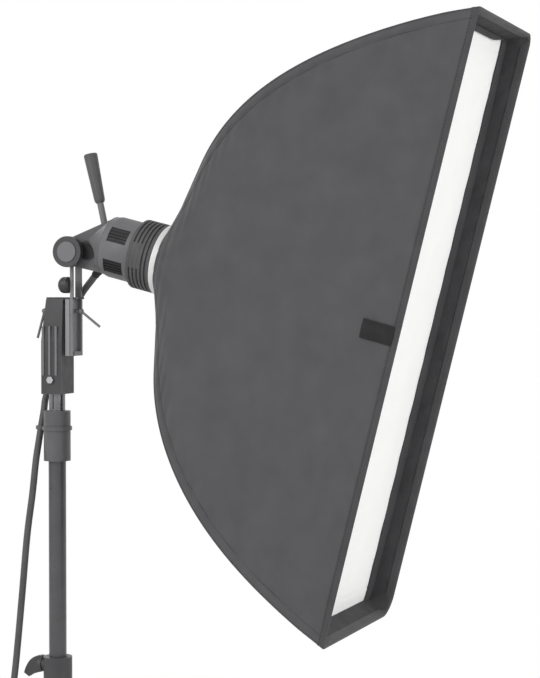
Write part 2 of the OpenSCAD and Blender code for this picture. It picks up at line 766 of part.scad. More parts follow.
// Outside of the rear cap: the shoulder behind the barrel, clear of the fork's eyes, and the spine to the lug
module cap_form(inset) {
    shoulder_u = -pivot_back + lug_r + eye_d / 2 + shoulder_room;
    rear_u = -barrel_back - 2 - inset;
    rim_r = barrel_r - barrel_ease - inset;
    r = lug_r - inset;
    w = lug_w - 2 * inset;
    hull() {
        translate([rear_u, 0, 0]) rotate([0, 90, 0]) cylinder(r = rim_r, h = 2, $fn = 64);
        translate([shoulder_u + inset, w / 2, -pivot_low / 2]) rotate([90, 0, 0]) cylinder(r = r, h = w, $fn = 48);
    }
    hull() {
        translate([rear_u, -w / 2, 2 - rim_r]) cube([2, w, 2 * rim_r - 4]);
        translate([-pivot_back + 2 * inset, w / 2, -pivot_low]) rotate([90, 0, 0]) cylinder(r = r, h = w, $fn = 48);
    }
}

// Recesses on both sides of the cap, beside the fork's eyes, grown by the given room
module cap_recesses(room) {
    r = recess_r + room;
    for (side = [0, 1]) mirror([0, side, 0]) translate([-pivot_back, lug_w / 2 - room, recess_up - pivot_low]) {
        translate([recess_l - recess_r, 0, 0]) rotate([-90, 0, 0]) cylinder(r = r, h = barrel_r);
        translate([0, 0, -r]) cube([recess_l - recess_r, barrel_r, 2 * r]);
    }
}

// Rear cap with the tilt lug, hollow towards the barrel
module rear_cap() {
    color("#4a4a4c") on_head() difference() {
        cap_form(0);
        cap_recesses(0);
        difference() {
            intersection() {
                cap_form(cap_wall);
                translate([lug_r + 6 - pivot_back, -barrel_r, -barrel_r]) cube(barrel_d);
            }
            cap_recesses(cap_wall);
        }
        translate([-pivot_back, lug_w, -pivot_low]) rotate([90, 0, 0])
            cylinder(r = pivot_r + run_fit, h = 2 * lug_w);
        handle_place() translate([0, 0, -handle_root - gap]) cylinder(d = handle_rod_d + gap, h = 4 * handle_root);
        gland_place() translate([0, 0, -gland_root - gap]) cylinder(d = gland_d + gap, h = 5 * gland_root);
    }
}

// Barrel with its four vent windows and its nose
module barrel() {
    color("#3a3a3c") on_head() difference() {
        turned([[-barrel_back, barrel_r - barrel_wall], [-barrel_back, barrel_r - barrel_ease],
            [4 * barrel_ease - barrel_back, barrel_r], [-grip_back, barrel_r], [-grip_back, nose_r],
            [nose_front, nose_r], [nose_front, nose_r - nose_wall], [-grip_back, nose_r - nose_wall],
            [-grip_back - 3, barrel_r - barrel_wall]]);
        each_vent() vent_block(0, barrel_r - 8, barrel_r + 5);
    }
}

// Repeats a shape at the four vents
module each_vent() {
    for (a = [90 - vent_up, 90 + vent_down, 270 + vent_up, 270 - vent_down]) rotate([a, 0, 0]) children();
}

// Block with the outline of one vent, from one radius to another
module vent_block(inset, r_in, r_out) {
    half = barrel_r * sin(vent_arc / 2) - inset;
    mid = -(barrel_back + grip_back) / 2;
    translate([mid - vent_l / 2 + inset, -half, r_in]) cube([vent_l - 2 * inset, 2 * half, r_out - r_in]);
}

// Slatted grilles in the vents
module vent_grilles() {
    r = barrel_r - 0.8;
    half = barrel_r * sin(vent_arc / 2);
    step = 2 * half / vent_slats;
    color("#121212") on_head() each_vent() difference() {
        intersection() {
            vent_block(gap, barrel_r - barrel_wall, r);
            rotate([0, 90, 0]) translate([0, 0, -barrel_back]) cylinder(r = r, h = barrel_back, $fn = 192);
        }
        for (i = [0 : vent_slats - 1]) translate([-barrel_back, (i + 0.3) * step - half, barrel_r - 2.2])
            cube([barrel_back, 0.4 * step, 5]);
    }
}

// Ridged rubber collar with a smooth patch on each side
module grip_collar() {
    front = clamp_u - gap;
    pitch = (front + grip_back) / grip_ridges;
    r = grip_d / 2;
    color("#222224") on_head() {
        difference() {
            turned([[-grip_back, nose_r + gap], [-grip_back, r - 1], [1 - grip_back, r], [front - 1, r],
                [front, r - 1], [front, nose_r + gap]]);
            for (i = [1 : grip_ridges - 1]) turned([
                [i * pitch - grip_back - 1.6, r + 1], [i * pitch - grip_back - 1, r - grip_groove],
                [i * pitch - grip_back + 1, r - grip_groove], [i * pitch - grip_back + 1.6, r + 1]]);
        }
        intersection() {
            turned([[1 - grip_back, nose_r + 1], [1 - grip_back, r - gap], [patch_l - grip_back, r - gap],
                [patch_l - grip_back, nose_r + 1]]);
            translate([-grip_back, -r, -patch_h / 2]) cube([patch_l + 1, 2 * r, patch_h]);
        }
    }
}

// Plate that carries the lamps
module lamp_base() {
    color("#c8c4b8") on_head() turned([[base_u, 0], [base_u, nose_r - nose_wall - gap],
        [base_u + base_t, nose_r - nose_wall - gap], [base_u + base_t, 0]]);
}

// Ring-shaped flash tube on two legs
module flash_tube() {
    u = base_u + base_t;
    color("#e8e4d8") on_head() {
        translate([u + flash_rise, 0, 0]) rotate([0, 90, 0]) rotate_extrude()
            translate([flash_ring_d / 2, 0]) circle(d = flash_tube_d);
        for (s = [-1, 1]) translate([u, 0, s * flash_ring_d / 2]) rotate([0, 90, 0])
            cylinder(d = flash_tube_d - 2, h = flash_rise);
    }
}

// Modelling lamp in the middle of the flash tube
module modelling_lamp() {
    u = base_u + base_t;
    r = bulb_d / 2;
    color("#f0ecdc") on_head() turned(concat([[u, 0], [u, 0.6 * r], [u + 0.4 * bulb_l, 0.6 * r]],
        [for (a = [150 : -15 : 0]) [u + bulb_l - r + r * cos(a), r * sin(a)]]));
}

// Glass dome over the lamps
module glass_dome() {
    u = base_u + base_t;
    r = glass_d / 2;
    q = r - glass_wall;
    color("#dfe6e8", 0.4) on_head() turned(concat([[u, q], [u, r]],
        [for (a = [90 : -10 : 0]) [u + glass_l + r * cos(a), r * sin(a)]],
        [for (a = [0 : 10 : 90]) [u + glass_l + q * cos(a), q * sin(a)]]));
}

// Places a shape on the handle's foot, +Z along the handle
module handle_place() {
    translate([-handle_back, 0, handle_up]) rotate([0, -handle_lean, 0]) children();
}

// Steel rod of the aiming handle
module handle_rod() {
    color("#5a5a5c") on_head() handle_place() translate([0, 0, -handle_root])
        cylinder(d = handle_rod_d, h = handle_root + handle_rod_l + handle_bore);
}

// Tapered grip on the handle's rod
module handle_grip() {
    color("#333335") on_head() handle_place() translate([0, 0, handle_rod_l]) rotate_extrude() polygon([
        [handle_rod_d / 2 + gap / 2, 0], [handle_rod_d / 2 + 1.5, 0], [grip_foot_d / 2, 4],
        [grip_top_d / 2, grip_l - 2], [grip_top_d / 2 - 1, grip_l], [0, grip_l], [0, handle_bore + gap], [handle_rod_d / 2 + gap / 2, handle_bore + gap]]);
}

// Places a shape at the gland's base, +Z along the cable, in the head's own frame
module gland_place() {
    translate([-pivot_back, 0, -pivot_low]) rotate([0, -head_tilt, 0]) translate([-pivot_x, 0, -pivot_z])
        translate(gland_base) aim(gland_dir) children();
}

// Tapered strain relief where the cable leaves the head
module cable_gland() {
    color("#161616") on_head() gland_place() rotate_extrude() polygon([[0, -gland_root], [gland_d / 2, -gland_root],
        [gland_d / 2, 5], [gland_d / 2 - 1, 6], [cable_r + 1, gland_l], [0, gland_l]]);
}

// Corner seam, seen from the side: a straight stretch from the ring, then a bow to the front edge
seam_a = [rear_u, rear_h];
seam_dir = [sin(rod_lean), cos(rod_lean)];
seam_b = seam_a + rod_straight * seam_dir;
seam_c = seam_b + rod_bow * seam_dir;
seam_d = [front_u, front_h / 2];
seam_split = 0.3;
function bow(t) = (1 - t) * (1 - t) * seam_b + 2 * t * (1 - t) * seam_c + t * t * seam_d;
function seam(s) = s < seam_split ? seam_a + s / seam_split * (seam_b - seam_a)
    : bow((s - seam_split) / (1 - seam_split));

// Place along the seam at a given distance in front of the ring plane
bow_2 = seam_b[0] - 2 * seam_c[0] + seam_d[0];
bow_1 = 2 * (seam_c[0] - seam_b[0]);
function seam_at(u) = seam_split + (1 - seam_split)
    * (sqrt(bow_1 * bow_1 + 4 * bow_2 * (u - seam_b[0])) - bow_1) / (2 * bow_2);

// Half width of the box at the seam, and at the middle of the side panels
function seam_w(s) = rear_w + (seam(s)[1] - rear_h) * (front_w / 2 - rear_w) / (front_h / 2 - rear_h);
rear_r = norm([rear_h, rear_w]);
function middle_w(s) = rear_r + (seam(s)[0] - rear_u) * (front_w / 2 - rear_r) / (front_u - rear_u);
side_round = 2.6;
function side_w(s, f) = middle_w(s) + (seam_w(s) - middle_w(s)) * pow(abs(f), side_round);

// Bulge of the end panels: round at the ring, drawn in between the rods further on
function end_bulge(s) = (rear_r - rear_h) * (1 - s) * (1 - s) - end_sag * 4 * s * (1 - s);

// Direction into the box, square to the seam as seen from the side
function inward(s) = let (d = unit(seam(min(s + 0.01, 1)) - seam(max(s - 0.01, 0)))) [d[1], -d[0]];

// Closed sheet between two grids of points with the given rows and columns
module sheet(outer, inner, rows, cols) {
    n = rows * cols;
    quads = [for (i = [0 : rows - 2], j = [0 : cols - 2])
        let (a = i * cols + j, b = a + 1, c = a + cols, d = c + 1)
        each [[a, b, c], [b, d, c], [n + a, n + c, n + b], [n + b, n + c, n + d]]];
    rims = concat(
        [for (j = [0 : cols - 2]) each rim(j, j + 1, n)],
        [for (j = [0 : cols - 2]) each rim((rows - 1) * cols + j + 1, (rows - 1) * cols + j, n)],
        [for (i = [0 : rows - 2]) each rim((i + 1) * cols, i * cols, n)],
        [for (i = [0 : rows - 2]) each rim((i + 1) * cols - 1, (i + 2) * cols - 1, n)]);
    polyhedron(concat(outer, inner), concat(quads, rims));
}
function rim(a, b, n) = [[a, n + a, b], [b, n + a, n + b]];

// Places along the seam where a panel has points
panel_steps = 16;
panel_s = [for (i = [0 : panel_steps]) i / panel_steps];

// Near side panel
side_cols = 10;
module side_sheet() {
    function row(s, t) = [for (j = [0 : side_cols])
        let (f = 2 * j / side_cols - 1) [seam(s)[0], t - side_w(s, f), f * seam(s)[1]]];
    sheet([for (s = panel_s) each row(s, 0)], [for (s = panel_s) each row(s, cloth_t)], len(panel_s), side_cols + 1);
}
module panel_near() {
    color("#58585a") on_head() side_sheet();
}
module panel_far() {
    color("#58585a") on_head() mirror([0, 1, 0]) side_sheet();
}

// Top end panel
end_cols = 4;
module end_sheet() {
    function row(s, t) = [for (j = [0 : end_cols])
        let (f = 2 * j / end_cols - 1, p = seam(s) + t * inward(s))
        [p[0], f * (seam_w(s) - cloth_t - gap), p[1] + end_bulge(s) * (1 - f * f)]];
    sheet([for (s = panel_s) each row(s, 0)], [for (s = panel_s) each row(s, cloth_t)], len(panel_s), end_cols + 1);
}
module panel_top() {
    color("#4c4c4e") on_head() end_sheet();
}
module panel_bottom() {
    color("#4c4c4e") on_head() mirror([0, 0, 1]) end_sheet();
}

// Half sizes of the clear space inside the fabric at a given distance from the ring plane
function clear_w(u) = middle_w(seam_at(u)) - cloth_t - gap;
function clear_h(u) = let (s = seam_at(u)) seam(s)[1] + min(end_bulge(s), 0) - 1.2 * cloth_t - gap;
diffuser_u = front_u - lip_depth;

// Dark lining of the front lip
module front_lip() {
    back = diffuser_u + cloth_t + gap;
    front = front_u - 1;
    function loop(u, t) = let (y = clear_w(u) - t, z = clear_h(u) - t)
        [[u, -y, -z], [u, y, -z], [u, y, z], [u, -y, z]];
    color("#1c1c1e") on_head() polyhedron(
        concat(loop(back, 0), loop(front, 0), loop(back, cloth_t), loop(front, cloth_t)),
        [for (k = [0 : 3]) let (m = (k + 1) % 4) each [
            [k, k + 4, m], [m, k + 4, m + 4],
            [k + 8, m + 8, k + 12], [m + 8, m + 12, k + 12],
            [k, m, k + 8], [m, m + 8, k + 8],
            [k + 4, k + 12, m + 4], [m + 4, k + 12, m + 12]]]);
}

// Flat outline across the light with its corners cut away
module cut_sheet(half_h, half_w, cut) {
    difference() {
        square([2 * half_h, 2 * half_w], center = true);
        for (x = [-1, 1], y = [-1, 1]) translate([x * half_h, y * half_w]) square(2 * cut, center = true);
    }
}

// Lays a flat outline across the light at a given distance from the ring plane
module across(u, t) {
    translate([u, 0, 0]) rotate([0, 90, 0]) linear_extrude(t) children();
}

// White front diffuser
module diffuser() {
    color("#f4f4f2") on_head() across(diffuser_u, cloth_t)
        cut_sheet(clear_h(diffuser_u), clear_w(diffuser_u), corner_cut);
}

// Hook-and-loop tape behind the diffuser's border
module hook_tape() {
    u = diffuser_u - tape_t;
    color("#202022") on_head() across(u, tape_t) difference() {
        cut_sheet(clear_h(u), clear_w(u), corner_cut);
        square([2 * (clear_h(u) - tape_w), 2 * (clear_w(u) - tape_w)], center = true);
    }
}

// Spring rods, from their sockets to their pockets behind the tape
rod_start = 0.01;
rod_end = seam_at(diffuser_u - tape_t - 4);
function rod_pt(s) = let (p = seam(s) + rod_inset * inward(s)) [p[0], rod_inset - seam_w(s), p[1]];
rod_dir = unit(rod_pt(0.2) - rod_pt(0.1));
rod_tip_dir = unit(rod_pt(rod_end) - rod_pt(rod_end - 0.02));
rod_rings = 22;
module rod() {
    p = [for (i = [0 : rod_rings]) rod_pt(rod_start + (rod_end - rod_start) * i / rod_rings)];
    color("#8f9092") tube(p, rod_d / 2, 8, [0, 1, 0], [rod_dir, rod_tip_dir]);
}
// Repeats a shape of the near top corner at one of the four corners
module corner(y, z) {
    mirror([0, y, 0]) mirror([0, 0, z]) children();
}
module rod_near_top() {
    on_head() corner(0, 0) rod();
}
module rod_near_bottom() {
    on_head() corner(0, 1) rod();
}
module rod_far_top() {
    on_head() corner(1, 0) rod();
}
module rod_far_bottom() {
    on_head() corner(1, 1) rod();
}
module each_corner() {
    for (y = [0, 1], z = [0, 1]) corner(y, z) children();
}

// Pockets that the rods' tips stand in
module corner_pockets() {
    color("#262628") on_head() each_corner() translate(rod_pt(rod_end)) aim(rod_tip_dir)
        translate([0, 0, 2 - pocket_l]) difference() {
            cylinder(d = pocket_d, h = pocket_l);
            translate([0, 0, -1]) cylinder(d = rod_d + 2 * gap, h = pocket_l - 0.7);
        }
}

// Light-coloured ring that turns on the head's nose
module clamp_ring() {
    r = clamp_d / 2;
    end = clamp_u + clamp_t;
    color("#dcdcda") on_head() turned([[clamp_u, nose_r + run_fit], [clamp_u, r - 1], [clamp_u + 1, r],
        [end - 1, r], [end, r - 1], [end, nose_r + run_fit]]);
}

// Speed ring with the four rod sockets
module speed_ring() {
    u = clamp_u + clamp_t;
    color("#2e2e30") on_head() difference() {
        union() {
            turned([[u, ring_bore_d / 2], [u, ring_d / 2 - 1], [u + 1, ring_d / 2], [u + ring_t, ring_d / 2 - 3],
                [u + ring_t, ring_bore_d / 2]]);
            each_corner() translate(rod_pt(0) - 4 * rod_dir) aim(rod_dir) cylinder(d = socket_d, h = socket_l + 4);
        }
        each_corner() translate(rod_pt(0)) aim(rod_dir) cylinder(d = rod_d + 2 * gap, h = socket_l + 10);
        rotate([0, 90, 0]) cylinder(d = ring_bore_d, h = 200);
    }
}

// Screws that hold the speed ring to the clamp ring
module ring_screws() {
    u = clamp_u + clamp_t + ring_t;
    color("#a8a8aa") on_head() for (a = [60, 120, 240, 300]) rotate([a, 0, 0])
        translate([u, 0, (ring_d + ring_bore_d) / 4 - 1]) rotate([0, 90, 0]) cylinder(d = ring_screw_d, h = 2.5);
}

// Inner baffle, hung from the rods by four straps
module inner_baffle() {
    s = seam_at(baffle_u);
    hold = [rod_pt(s)[2], -rod_pt(s)[1]];
    half = baffle_share * hold;
    color("#f0f0ee") on_head() across(baffle_u, cloth_t) {
        square(2 * half, center = true);
        for (x = [-1, 1], y = [-1, 1]) rotate(atan2(y * hold[1], x * hold[0]))
            translate([norm(half) - strap_w, -strap_w / 2])
                square([norm(hold - half) + strap_w - strap_stop, strap_w]);
    }
}

// Pull tab on the near panel
module pull_tab() {
    u = front_u - tab_back - tab_l;
    s = seam_at(u);
    slope = atan((front_w / 2 - rear_r) / (front_u - rear_u));
    color("#18181a") on_head() translate([u, -middle_w(s) - gap, -6]) rotate([0, 0, -slope])
        translate([0, -tab_t, -tab_w / 2]) cube([tab_l, tab_t, tab_w]);
}

// Cable: three held stretches
cable_line = stretch(cable_pts, 0, last_i, 2);
function cable_dir(i) = unit(cable_pts[min(i + 1, last_i)] - cable_pts[max(i - 1, 0)]);
module cable_stretch(i, j) {
    color("#141414") tube(stretch(cable_pts, i, j, 2), cable_r, 10, [1, 0, 0], [cable_dir(i), cable_dir(j)]);
}
module cord_tilt() {
    cable_stretch(0, clip_i);
}
module cord_pan() {
    cable_stretch(clip_i, strap_i);
}
module cord_drop() {
    cable_stretch(strap_i, last_i);
}

// Coil: spirals in on the floor, climbs in the half turn where it reverses, and spirals out on top
function smooth(t) = let (x = min(max(t, 0), 1)) x * x * (3 - 2 * x);
function coil_pt(q) =
    let (r = coil_in_r + abs(q - coil_half) * coil_pitch, z = coil_pitch * smooth((q - coil_half) * 2 + 0.5))
    coil_mid + [r * cos(360 * q), r * sin(360 * q), z];
coil_top = coil_pt(coil_loops);
coil_end = [coil_top[0], coil_top[1] + coil_tail, plug_d / 2 + gap];
coil_line = concat([coil_start], [for (k = [0 : coil_loops * coil_steps]) coil_pt(k / coil_steps)],
    [coil_top + [0, coil_tail / 2, 0], coil_end]);
coil_gap = min([for (i = [0 : len(coil_line) - 1], j = [i + 13 : len(coil_line) - 1])
    norm(coil_line[i] - coil_line[j])]) - cable_d;
echo(coil_gap = coil_gap);
function length_of(p) = [for (i = [1 : len(p) - 1]) norm(p[i] - p[i - 1])] * [for (i = [1 : len(p) - 1]) 1];
echo(cable_length = length_of(cable_line) + length_of(coil_line));
module cord_coil() {
    color("#141414") tube(coil_line, cable_r, 6, [0, 0, 1], [[0, 1, 0], [0, 1, 0]]);
}

// Strap round the coil, on the side away from the column
module coil_tie() {
    room = cable_r + gap;
    low = sqrt(pow(coil_in_r - room, 2) - pow(tie_w / 2, 2));
    high = coil_in_r + (coil_half - 0.5) * coil_pitch + room;
    top = 2 * cable_r + coil_pitch + 2 * gap;
    color("#202020") translate([coil_mid[0], 0, coil_mid[2] - room]) rotate([90, 0, 180])
        translate([0, 0, -tie_w / 2]) linear_extrude(tie_w) difference() {
            translate([low - tie_t, -tie_t]) square([high - low + 2 * tie_t, top + 2 * tie_t]);
            translate([low, 0]) square([high - low, top]);
        }
}

// Plug at the cable's end
module plug() {
    r = plug_d / 2;
    color("#1a1a1c") translate(coil_end) rotate([-90, 0, 0]) {
        rotate_extrude() polygon([[0, 0], [cable_r + 1.5, 0], [cable_r + 2.5, 16], [r - 3, 22], [r - 3, 36], [r - 1, 38],
            [r - 1, plug_l - 26], [r, plug_l - 24], [r, plug_l - 2], [r - 2, plug_l], [r - 3, plug_l],
            [r - 3, plug_l - 14], [0, plug_l - 14]]);
        for (a = [0 : 60 : 300]) rotate([0, 0, a]) translate([r / 2, 0, plug_l - 15]) cylinder(d = 3, h = 12);
    }
}

base_column();
lock_collar();
wing_screw();
riser_tube();
riser_collar();
neck();
spigot();
cable_clip();
leg(0);  // leg_a
leg(1);  // leg_b
leg(2);  // leg_c
foot(0);  // foot_a
foot(1);  // foot_b
foot(2);  // foot_c
stand_block();
block_bolt();
block_clip();
top_plate();
fork();
pivot_bolt();
tilt_knob();
drag_knob();
front_lever();
rear_lever();
rear_cap();
barrel();
vent_grilles();
grip_collar();
lamp_base();
flash_tube();
modelling_lamp();
glass_dome();
handle_rod();
handle_grip();
cable_gland();
panel_near();
panel_far();
panel_top();
panel_bottom();
front_lip();
diffuser();
hook_tape();
rod_near_top();
rod_near_bottom();
rod_far_top();
rod_far_bottom();
corner_pockets();
clamp_ring();
speed_ring();
ring_screws();
inner_baffle();
pull_tab();
cord_tilt();
cord_pan();
cord_drop();
cord_coil();
coil_tie();
plug();
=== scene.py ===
"""Looks of a strip softbox on its lamp head, tilt fork and studio stand.

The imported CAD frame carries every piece. Lengths are metres in the frame's own axes: +Z is up, +X is the
way the light points, and the near side of the softbox faces -Y.
"""

from __future__ import annotations

import logging
import math
from dataclasses import dataclass, field
from enum import Enum
from typing import Iterable, Sequence

import bmesh
import bpy
import numpy as np
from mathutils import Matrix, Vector

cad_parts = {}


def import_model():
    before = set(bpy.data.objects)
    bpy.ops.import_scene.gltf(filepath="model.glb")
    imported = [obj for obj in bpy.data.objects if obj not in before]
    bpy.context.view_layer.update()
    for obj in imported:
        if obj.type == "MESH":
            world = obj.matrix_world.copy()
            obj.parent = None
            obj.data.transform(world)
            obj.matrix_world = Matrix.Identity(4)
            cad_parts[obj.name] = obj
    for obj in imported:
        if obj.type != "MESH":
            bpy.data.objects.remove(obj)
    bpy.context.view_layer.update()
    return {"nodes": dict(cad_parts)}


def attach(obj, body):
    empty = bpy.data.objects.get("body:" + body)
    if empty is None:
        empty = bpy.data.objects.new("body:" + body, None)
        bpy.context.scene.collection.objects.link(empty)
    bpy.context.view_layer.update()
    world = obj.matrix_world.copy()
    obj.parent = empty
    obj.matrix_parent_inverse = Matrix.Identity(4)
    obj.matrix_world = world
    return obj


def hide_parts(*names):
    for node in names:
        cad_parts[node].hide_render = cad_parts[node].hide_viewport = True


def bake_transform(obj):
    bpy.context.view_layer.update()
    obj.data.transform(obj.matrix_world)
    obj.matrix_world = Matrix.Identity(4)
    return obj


Array = np.ndarray
Piece = bpy.types.Object
Material = bpy.types.Material
Socket = bpy.types.NodeSocket
LOG = logging.getLogger("softbox")
UV_NAME = "Map"
SHARP_EDGE = math.radians(40.0)
# Pitch, length and half thickness of the stitches
SEAM_STITCH = (0.0048, 0.0036, 0.0005)
TAB_STITCH = (0.0035, 0.0026, 0.0004)


def unit(vectors: Array) -> Array:
    """Gives vectors of length one along the last axis."""
    return vectors / np.maximum(np.linalg.norm(vectors, axis=-1, keepdims=True), 1e-12)


def smooth(x: Array, low: float, high: float) -> Array:
    """Gives an S-shaped step that is 0 below low and 1 above high."""
    t = np.clip((np.asarray(x, float) - low) / (high - low), 0.0, 1.0)
    return t * t * (3.0 - 2.0 * t)


def linear(tone: str) -> tuple[float, float, float, float]:
    """Turns a hex screen colour into the linear colour that a shader socket takes."""
    screen = np.array([int(tone[i:i + 2], 16) for i in (1, 3, 5)]) / 255.0
    light = np.where(screen <= 0.04045, screen / 12.92, ((screen + 0.055) / 1.055) ** 2.4)
    return (*(float(c) for c in light), 1.0)


def run_of(line: Array) -> Array:
    """Gives the length of a line up to each of its points."""
    return np.concatenate([[0.0], np.cumsum(np.linalg.norm(np.diff(line, axis=0), axis=1))])


def sample(at: Array, far: Array, rows: Array) -> Array:
    """Reads rows of three numbers, which stand at the lengths in far, at other lengths."""
    return np.stack([np.interp(at, far, rows[:, k]) for k in range(3)], axis=1)


def grid(*parts: Array | float) -> Array:
    """Joins the coordinates of a grid of points, spread to one shape, along a new last axis."""
    return np.stack(np.broadcast_arrays(*parts), axis=-1)


def even(path: Array, count: int) -> Array:
    """Spaces points evenly round a closed line.

    Args:
        path: Points of the line, one to a row.
        count: How many points to give back.

    Returns:
        The evenly spaced points; the first one isn't repeated.
    """
    line = np.vstack([path, path[:1]])
    far = run_of(line)
    return sample(np.linspace(0.0, far[-1], count, endpoint=False), far, line)


def headings(path: Array, closed: bool = False) -> Array:
    """Gives the direction along a line at each of its points."""
    if closed:
        return unit(np.roll(path, -1, axis=0) - np.roll(path, 1, axis=0))
    return unit(np.gradient(path, axis=0))


@dataclass
class Surface:
    """Points, faces, corner coordinates and finish numbers of a piece before it becomes a mesh."""

    points: Array
    quads: Array
    quad_uv: Array
    quad_finish: Array
    tris: Array = field(default_factory=lambda: np.zeros((0, 3), int))

    def joined(self, *others: "Surface") -> "Surface":
        """Gives one surface that holds this one and the others."""
        every = (self, *others)
        shift = np.cumsum([0] + [len(s.points) for s in every])
        return Surface(
            np.vstack([s.points for s in every]),
            np.vstack([s.quads + n for s, n in zip(every, shift)]),
            np.vstack([s.quad_uv for s in every]),
            np.concatenate([s.quad_finish for s in every]),
            np.vstack([s.tris + n for s, n in zip(every, shift)]),
        )


def quads_of(rows: int, cols: int, wrap: bool, close: bool = False) -> Array:
    """Numbers the faces of a grid of points.

    Args:
        rows: Rows of points.
        cols: Points in a row.
        wrap: Whether each row closes on itself.
        close: Whether the last row joins the first.

    Returns:
        Four point numbers for each face, row after row.
    """
    i = np.arange(rows if close else rows - 1)[:, None]
    j = np.arange(cols if wrap else cols - 1)[None, :]
    n = (i + 1) % rows
    k = (j + 1) % cols
    return grid(i * cols + j, i * cols + k, n * cols + k, n * cols + j).reshape(-1, 4)


def uv_of(along: Array, across: Array) -> Array:
    """Gives the corner coordinates of a grid's faces from the places of its lines, in metres."""
    i = np.arange(len(along) - 1)[:, None]
    j = np.arange(len(across) - 1)[None, :]
    u = grid(along[i], along[i], along[i + 1], along[i + 1])
    v = grid(across[j], across[j + 1], across[j + 1], across[j])
    return grid(u, v).reshape(-1, 4, 2)


def carry(path: Array, side: Array, up: Array, profile: Array, closed: bool = False) -> Surface:
    """Carries a closed outline along a path: a point is path + side * x + up * y.

    Args:
        path: Points of the path.
        side: Direction of the outline's x at each point.
        up: Direction of the outline's y at each point.
        profile: The outline's x and y, one outline for all points or one for each.
        closed: Whether the path returns to its start.

    Returns:
        A closed surface; the ends of an open path are capped.
    """
    outline = np.broadcast_to(profile, (len(path), *profile.shape[-2:]))
    points = path[:, None] + side[:, None] * outline[..., :1] + up[:, None] * outline[..., 1:]
    rows, cols = points.shape[:2]
    line = np.vstack([path, path[:1]]) if closed else path
    along = run_of(line)
    across = run_of(np.vstack([outline[0], outline[0][:1]]))
    quads = quads_of(rows, cols, True, closed)
    flat = points.reshape(-1, 3)
    tris = np.zeros((0, 3), int)
    if not closed:
        j = np.arange(cols)
        k = (j + 1) % cols
        last = (rows - 1) * cols
        start, stop = len(flat), len(flat) + 1
        flat = np.vstack([flat, points[0].mean(0), points[-1].mean(0)])
        tris = np.vstack([
            np.stack([np.full(cols, start), k, j], axis=1),
            np.stack([np.full(cols, stop), last + j, last + k], axis=1),
        ])
    return Surface(flat, quads, uv_of(along, across), np.zeros(len(quads), int), tris)


def circle(sides: int) -> Array:
    """Gives the x and y of a round outline of radius one."""
    turn = np.arange(sides) * 2.0 * np.pi / sides
    return np.stack([np.cos(turn), np.sin(turn)], axis=1)


def tube(path: Array, radius: Array | float, sides: int, shy: Sequence[float]) -> Surface:
    """Makes a round tube along a path.

    Args:
        path: Centre points.
        radius: One radius, or one for each point.
        sides: Points in each ring.
        shy: A direction that the path never runs along.

    Returns:
        The capped tube.
    """
    along = headings(path)
    side = unit(np.cross(along, np.asarray(shy, float)))
    up = np.cross(along, side)
    rings = circle(sides)[None] * np.broadcast_to(radius, (len(path),))[:, None, None]
    return carry(path, side, up, rings)


def cloth(outer: Array, inner: Array, along: Array, across: Array, wrap: bool = False) -> Surface:
    """Closes two grids of points into one cloth with a thickness.

    Args:
        outer: Grid of the outer face.
        inner: Grid of the inner face, point for point.
        along: Place of each row, in metres.
        across: Place of each column, in metres, with one more where rows wrap.
        wrap: Whether each row closes on itself.

    Returns:
        The closed cloth; its outer face and rim have finish 0 and its inner face finish 1.
    """
    rows, cols = outer.shape[:2]
    size = rows * cols
    face = quads_of(rows, cols, wrap)
    uv = uv_of(along, across)
    number = np.arange(size).reshape(rows, cols)
    if wrap:
        edges = [np.append(number[0], number[0, 0]), np.append(number[-1], number[-1, 0])[::-1]]
    else:
        edges = [np.concatenate([number[0], number[1:, -1], number[-1, -2::-1], number[-2::-1, 0]])]
    rims = np.vstack([np.stack([e[1:], e[:-1], e[:-1] + size, e[1:] + size], axis=1) for e in edges])
    rim_uv = np.zeros((len(rims), 4, 2))
    return Surface(
        np.vstack([outer.reshape(-1, 3), inner.reshape(-1, 3)]),
        np.vstack([face, face[:, ::-1] + size, rims]),
        np.vstack([uv, uv[:, ::-1], rim_uv]),
        np.concatenate([np.zeros(len(face), int), np.ones(len(face), int), np.zeros(len(rims), int)]),
    )


def stitches(path: Array, out: Array, pitch: float, length: float, thick: float) -> Surface:
    """Makes a row of sewn stitches, each a slim six-cornered grain of thread.

    Args:
        path: Points of the seam line.
        out: Direction away from the cloth at each point.
        pitch: Distance from one stitch to the next.
        length: Length of a stitch.
        thick: Half thickness of the thread.

    Returns:
        One surface with all the stitches.
    """
    far = run_of(path)
    at = np.arange(pitch / 2, far[-1], pitch)
    middle = sample(at, far, path)
    way = unit(sample(at, far, headings(path)))
    lift = unit(sample(at, far, out))
    side = np.cross(way, lift)
    grain = np.stack([-way * length / 2, way * length / 2, lift * thick, side * thick,
                      -lift * thick, -side * thick], axis=1)
    points = (middle[:, None] + grain).reshape(-1, 3)
    face = np.array([[0, 3, 2], [0, 4, 3], [0, 5, 4], [0, 2, 5],
                     [1, 2, 3], [1, 3, 4], [1, 4, 5], [1, 5, 2]])
    tris = (np.arange(len(at))[:, None, None] * 6 + face[None]).reshape(-1, 3)
    none = np.zeros((0, 4), int)
    return Surface(points, none, np.zeros((0, 4, 2)), np.zeros(0, int), tris)


def put(name: str, data: bpy.types.ID) -> Piece:
    """Puts a mesh, camera or lamp into the scene as an object at the origin."""
    made = bpy.data.objects.new(name, data)
    bpy.context.scene.collection.objects.link(made)
    return made


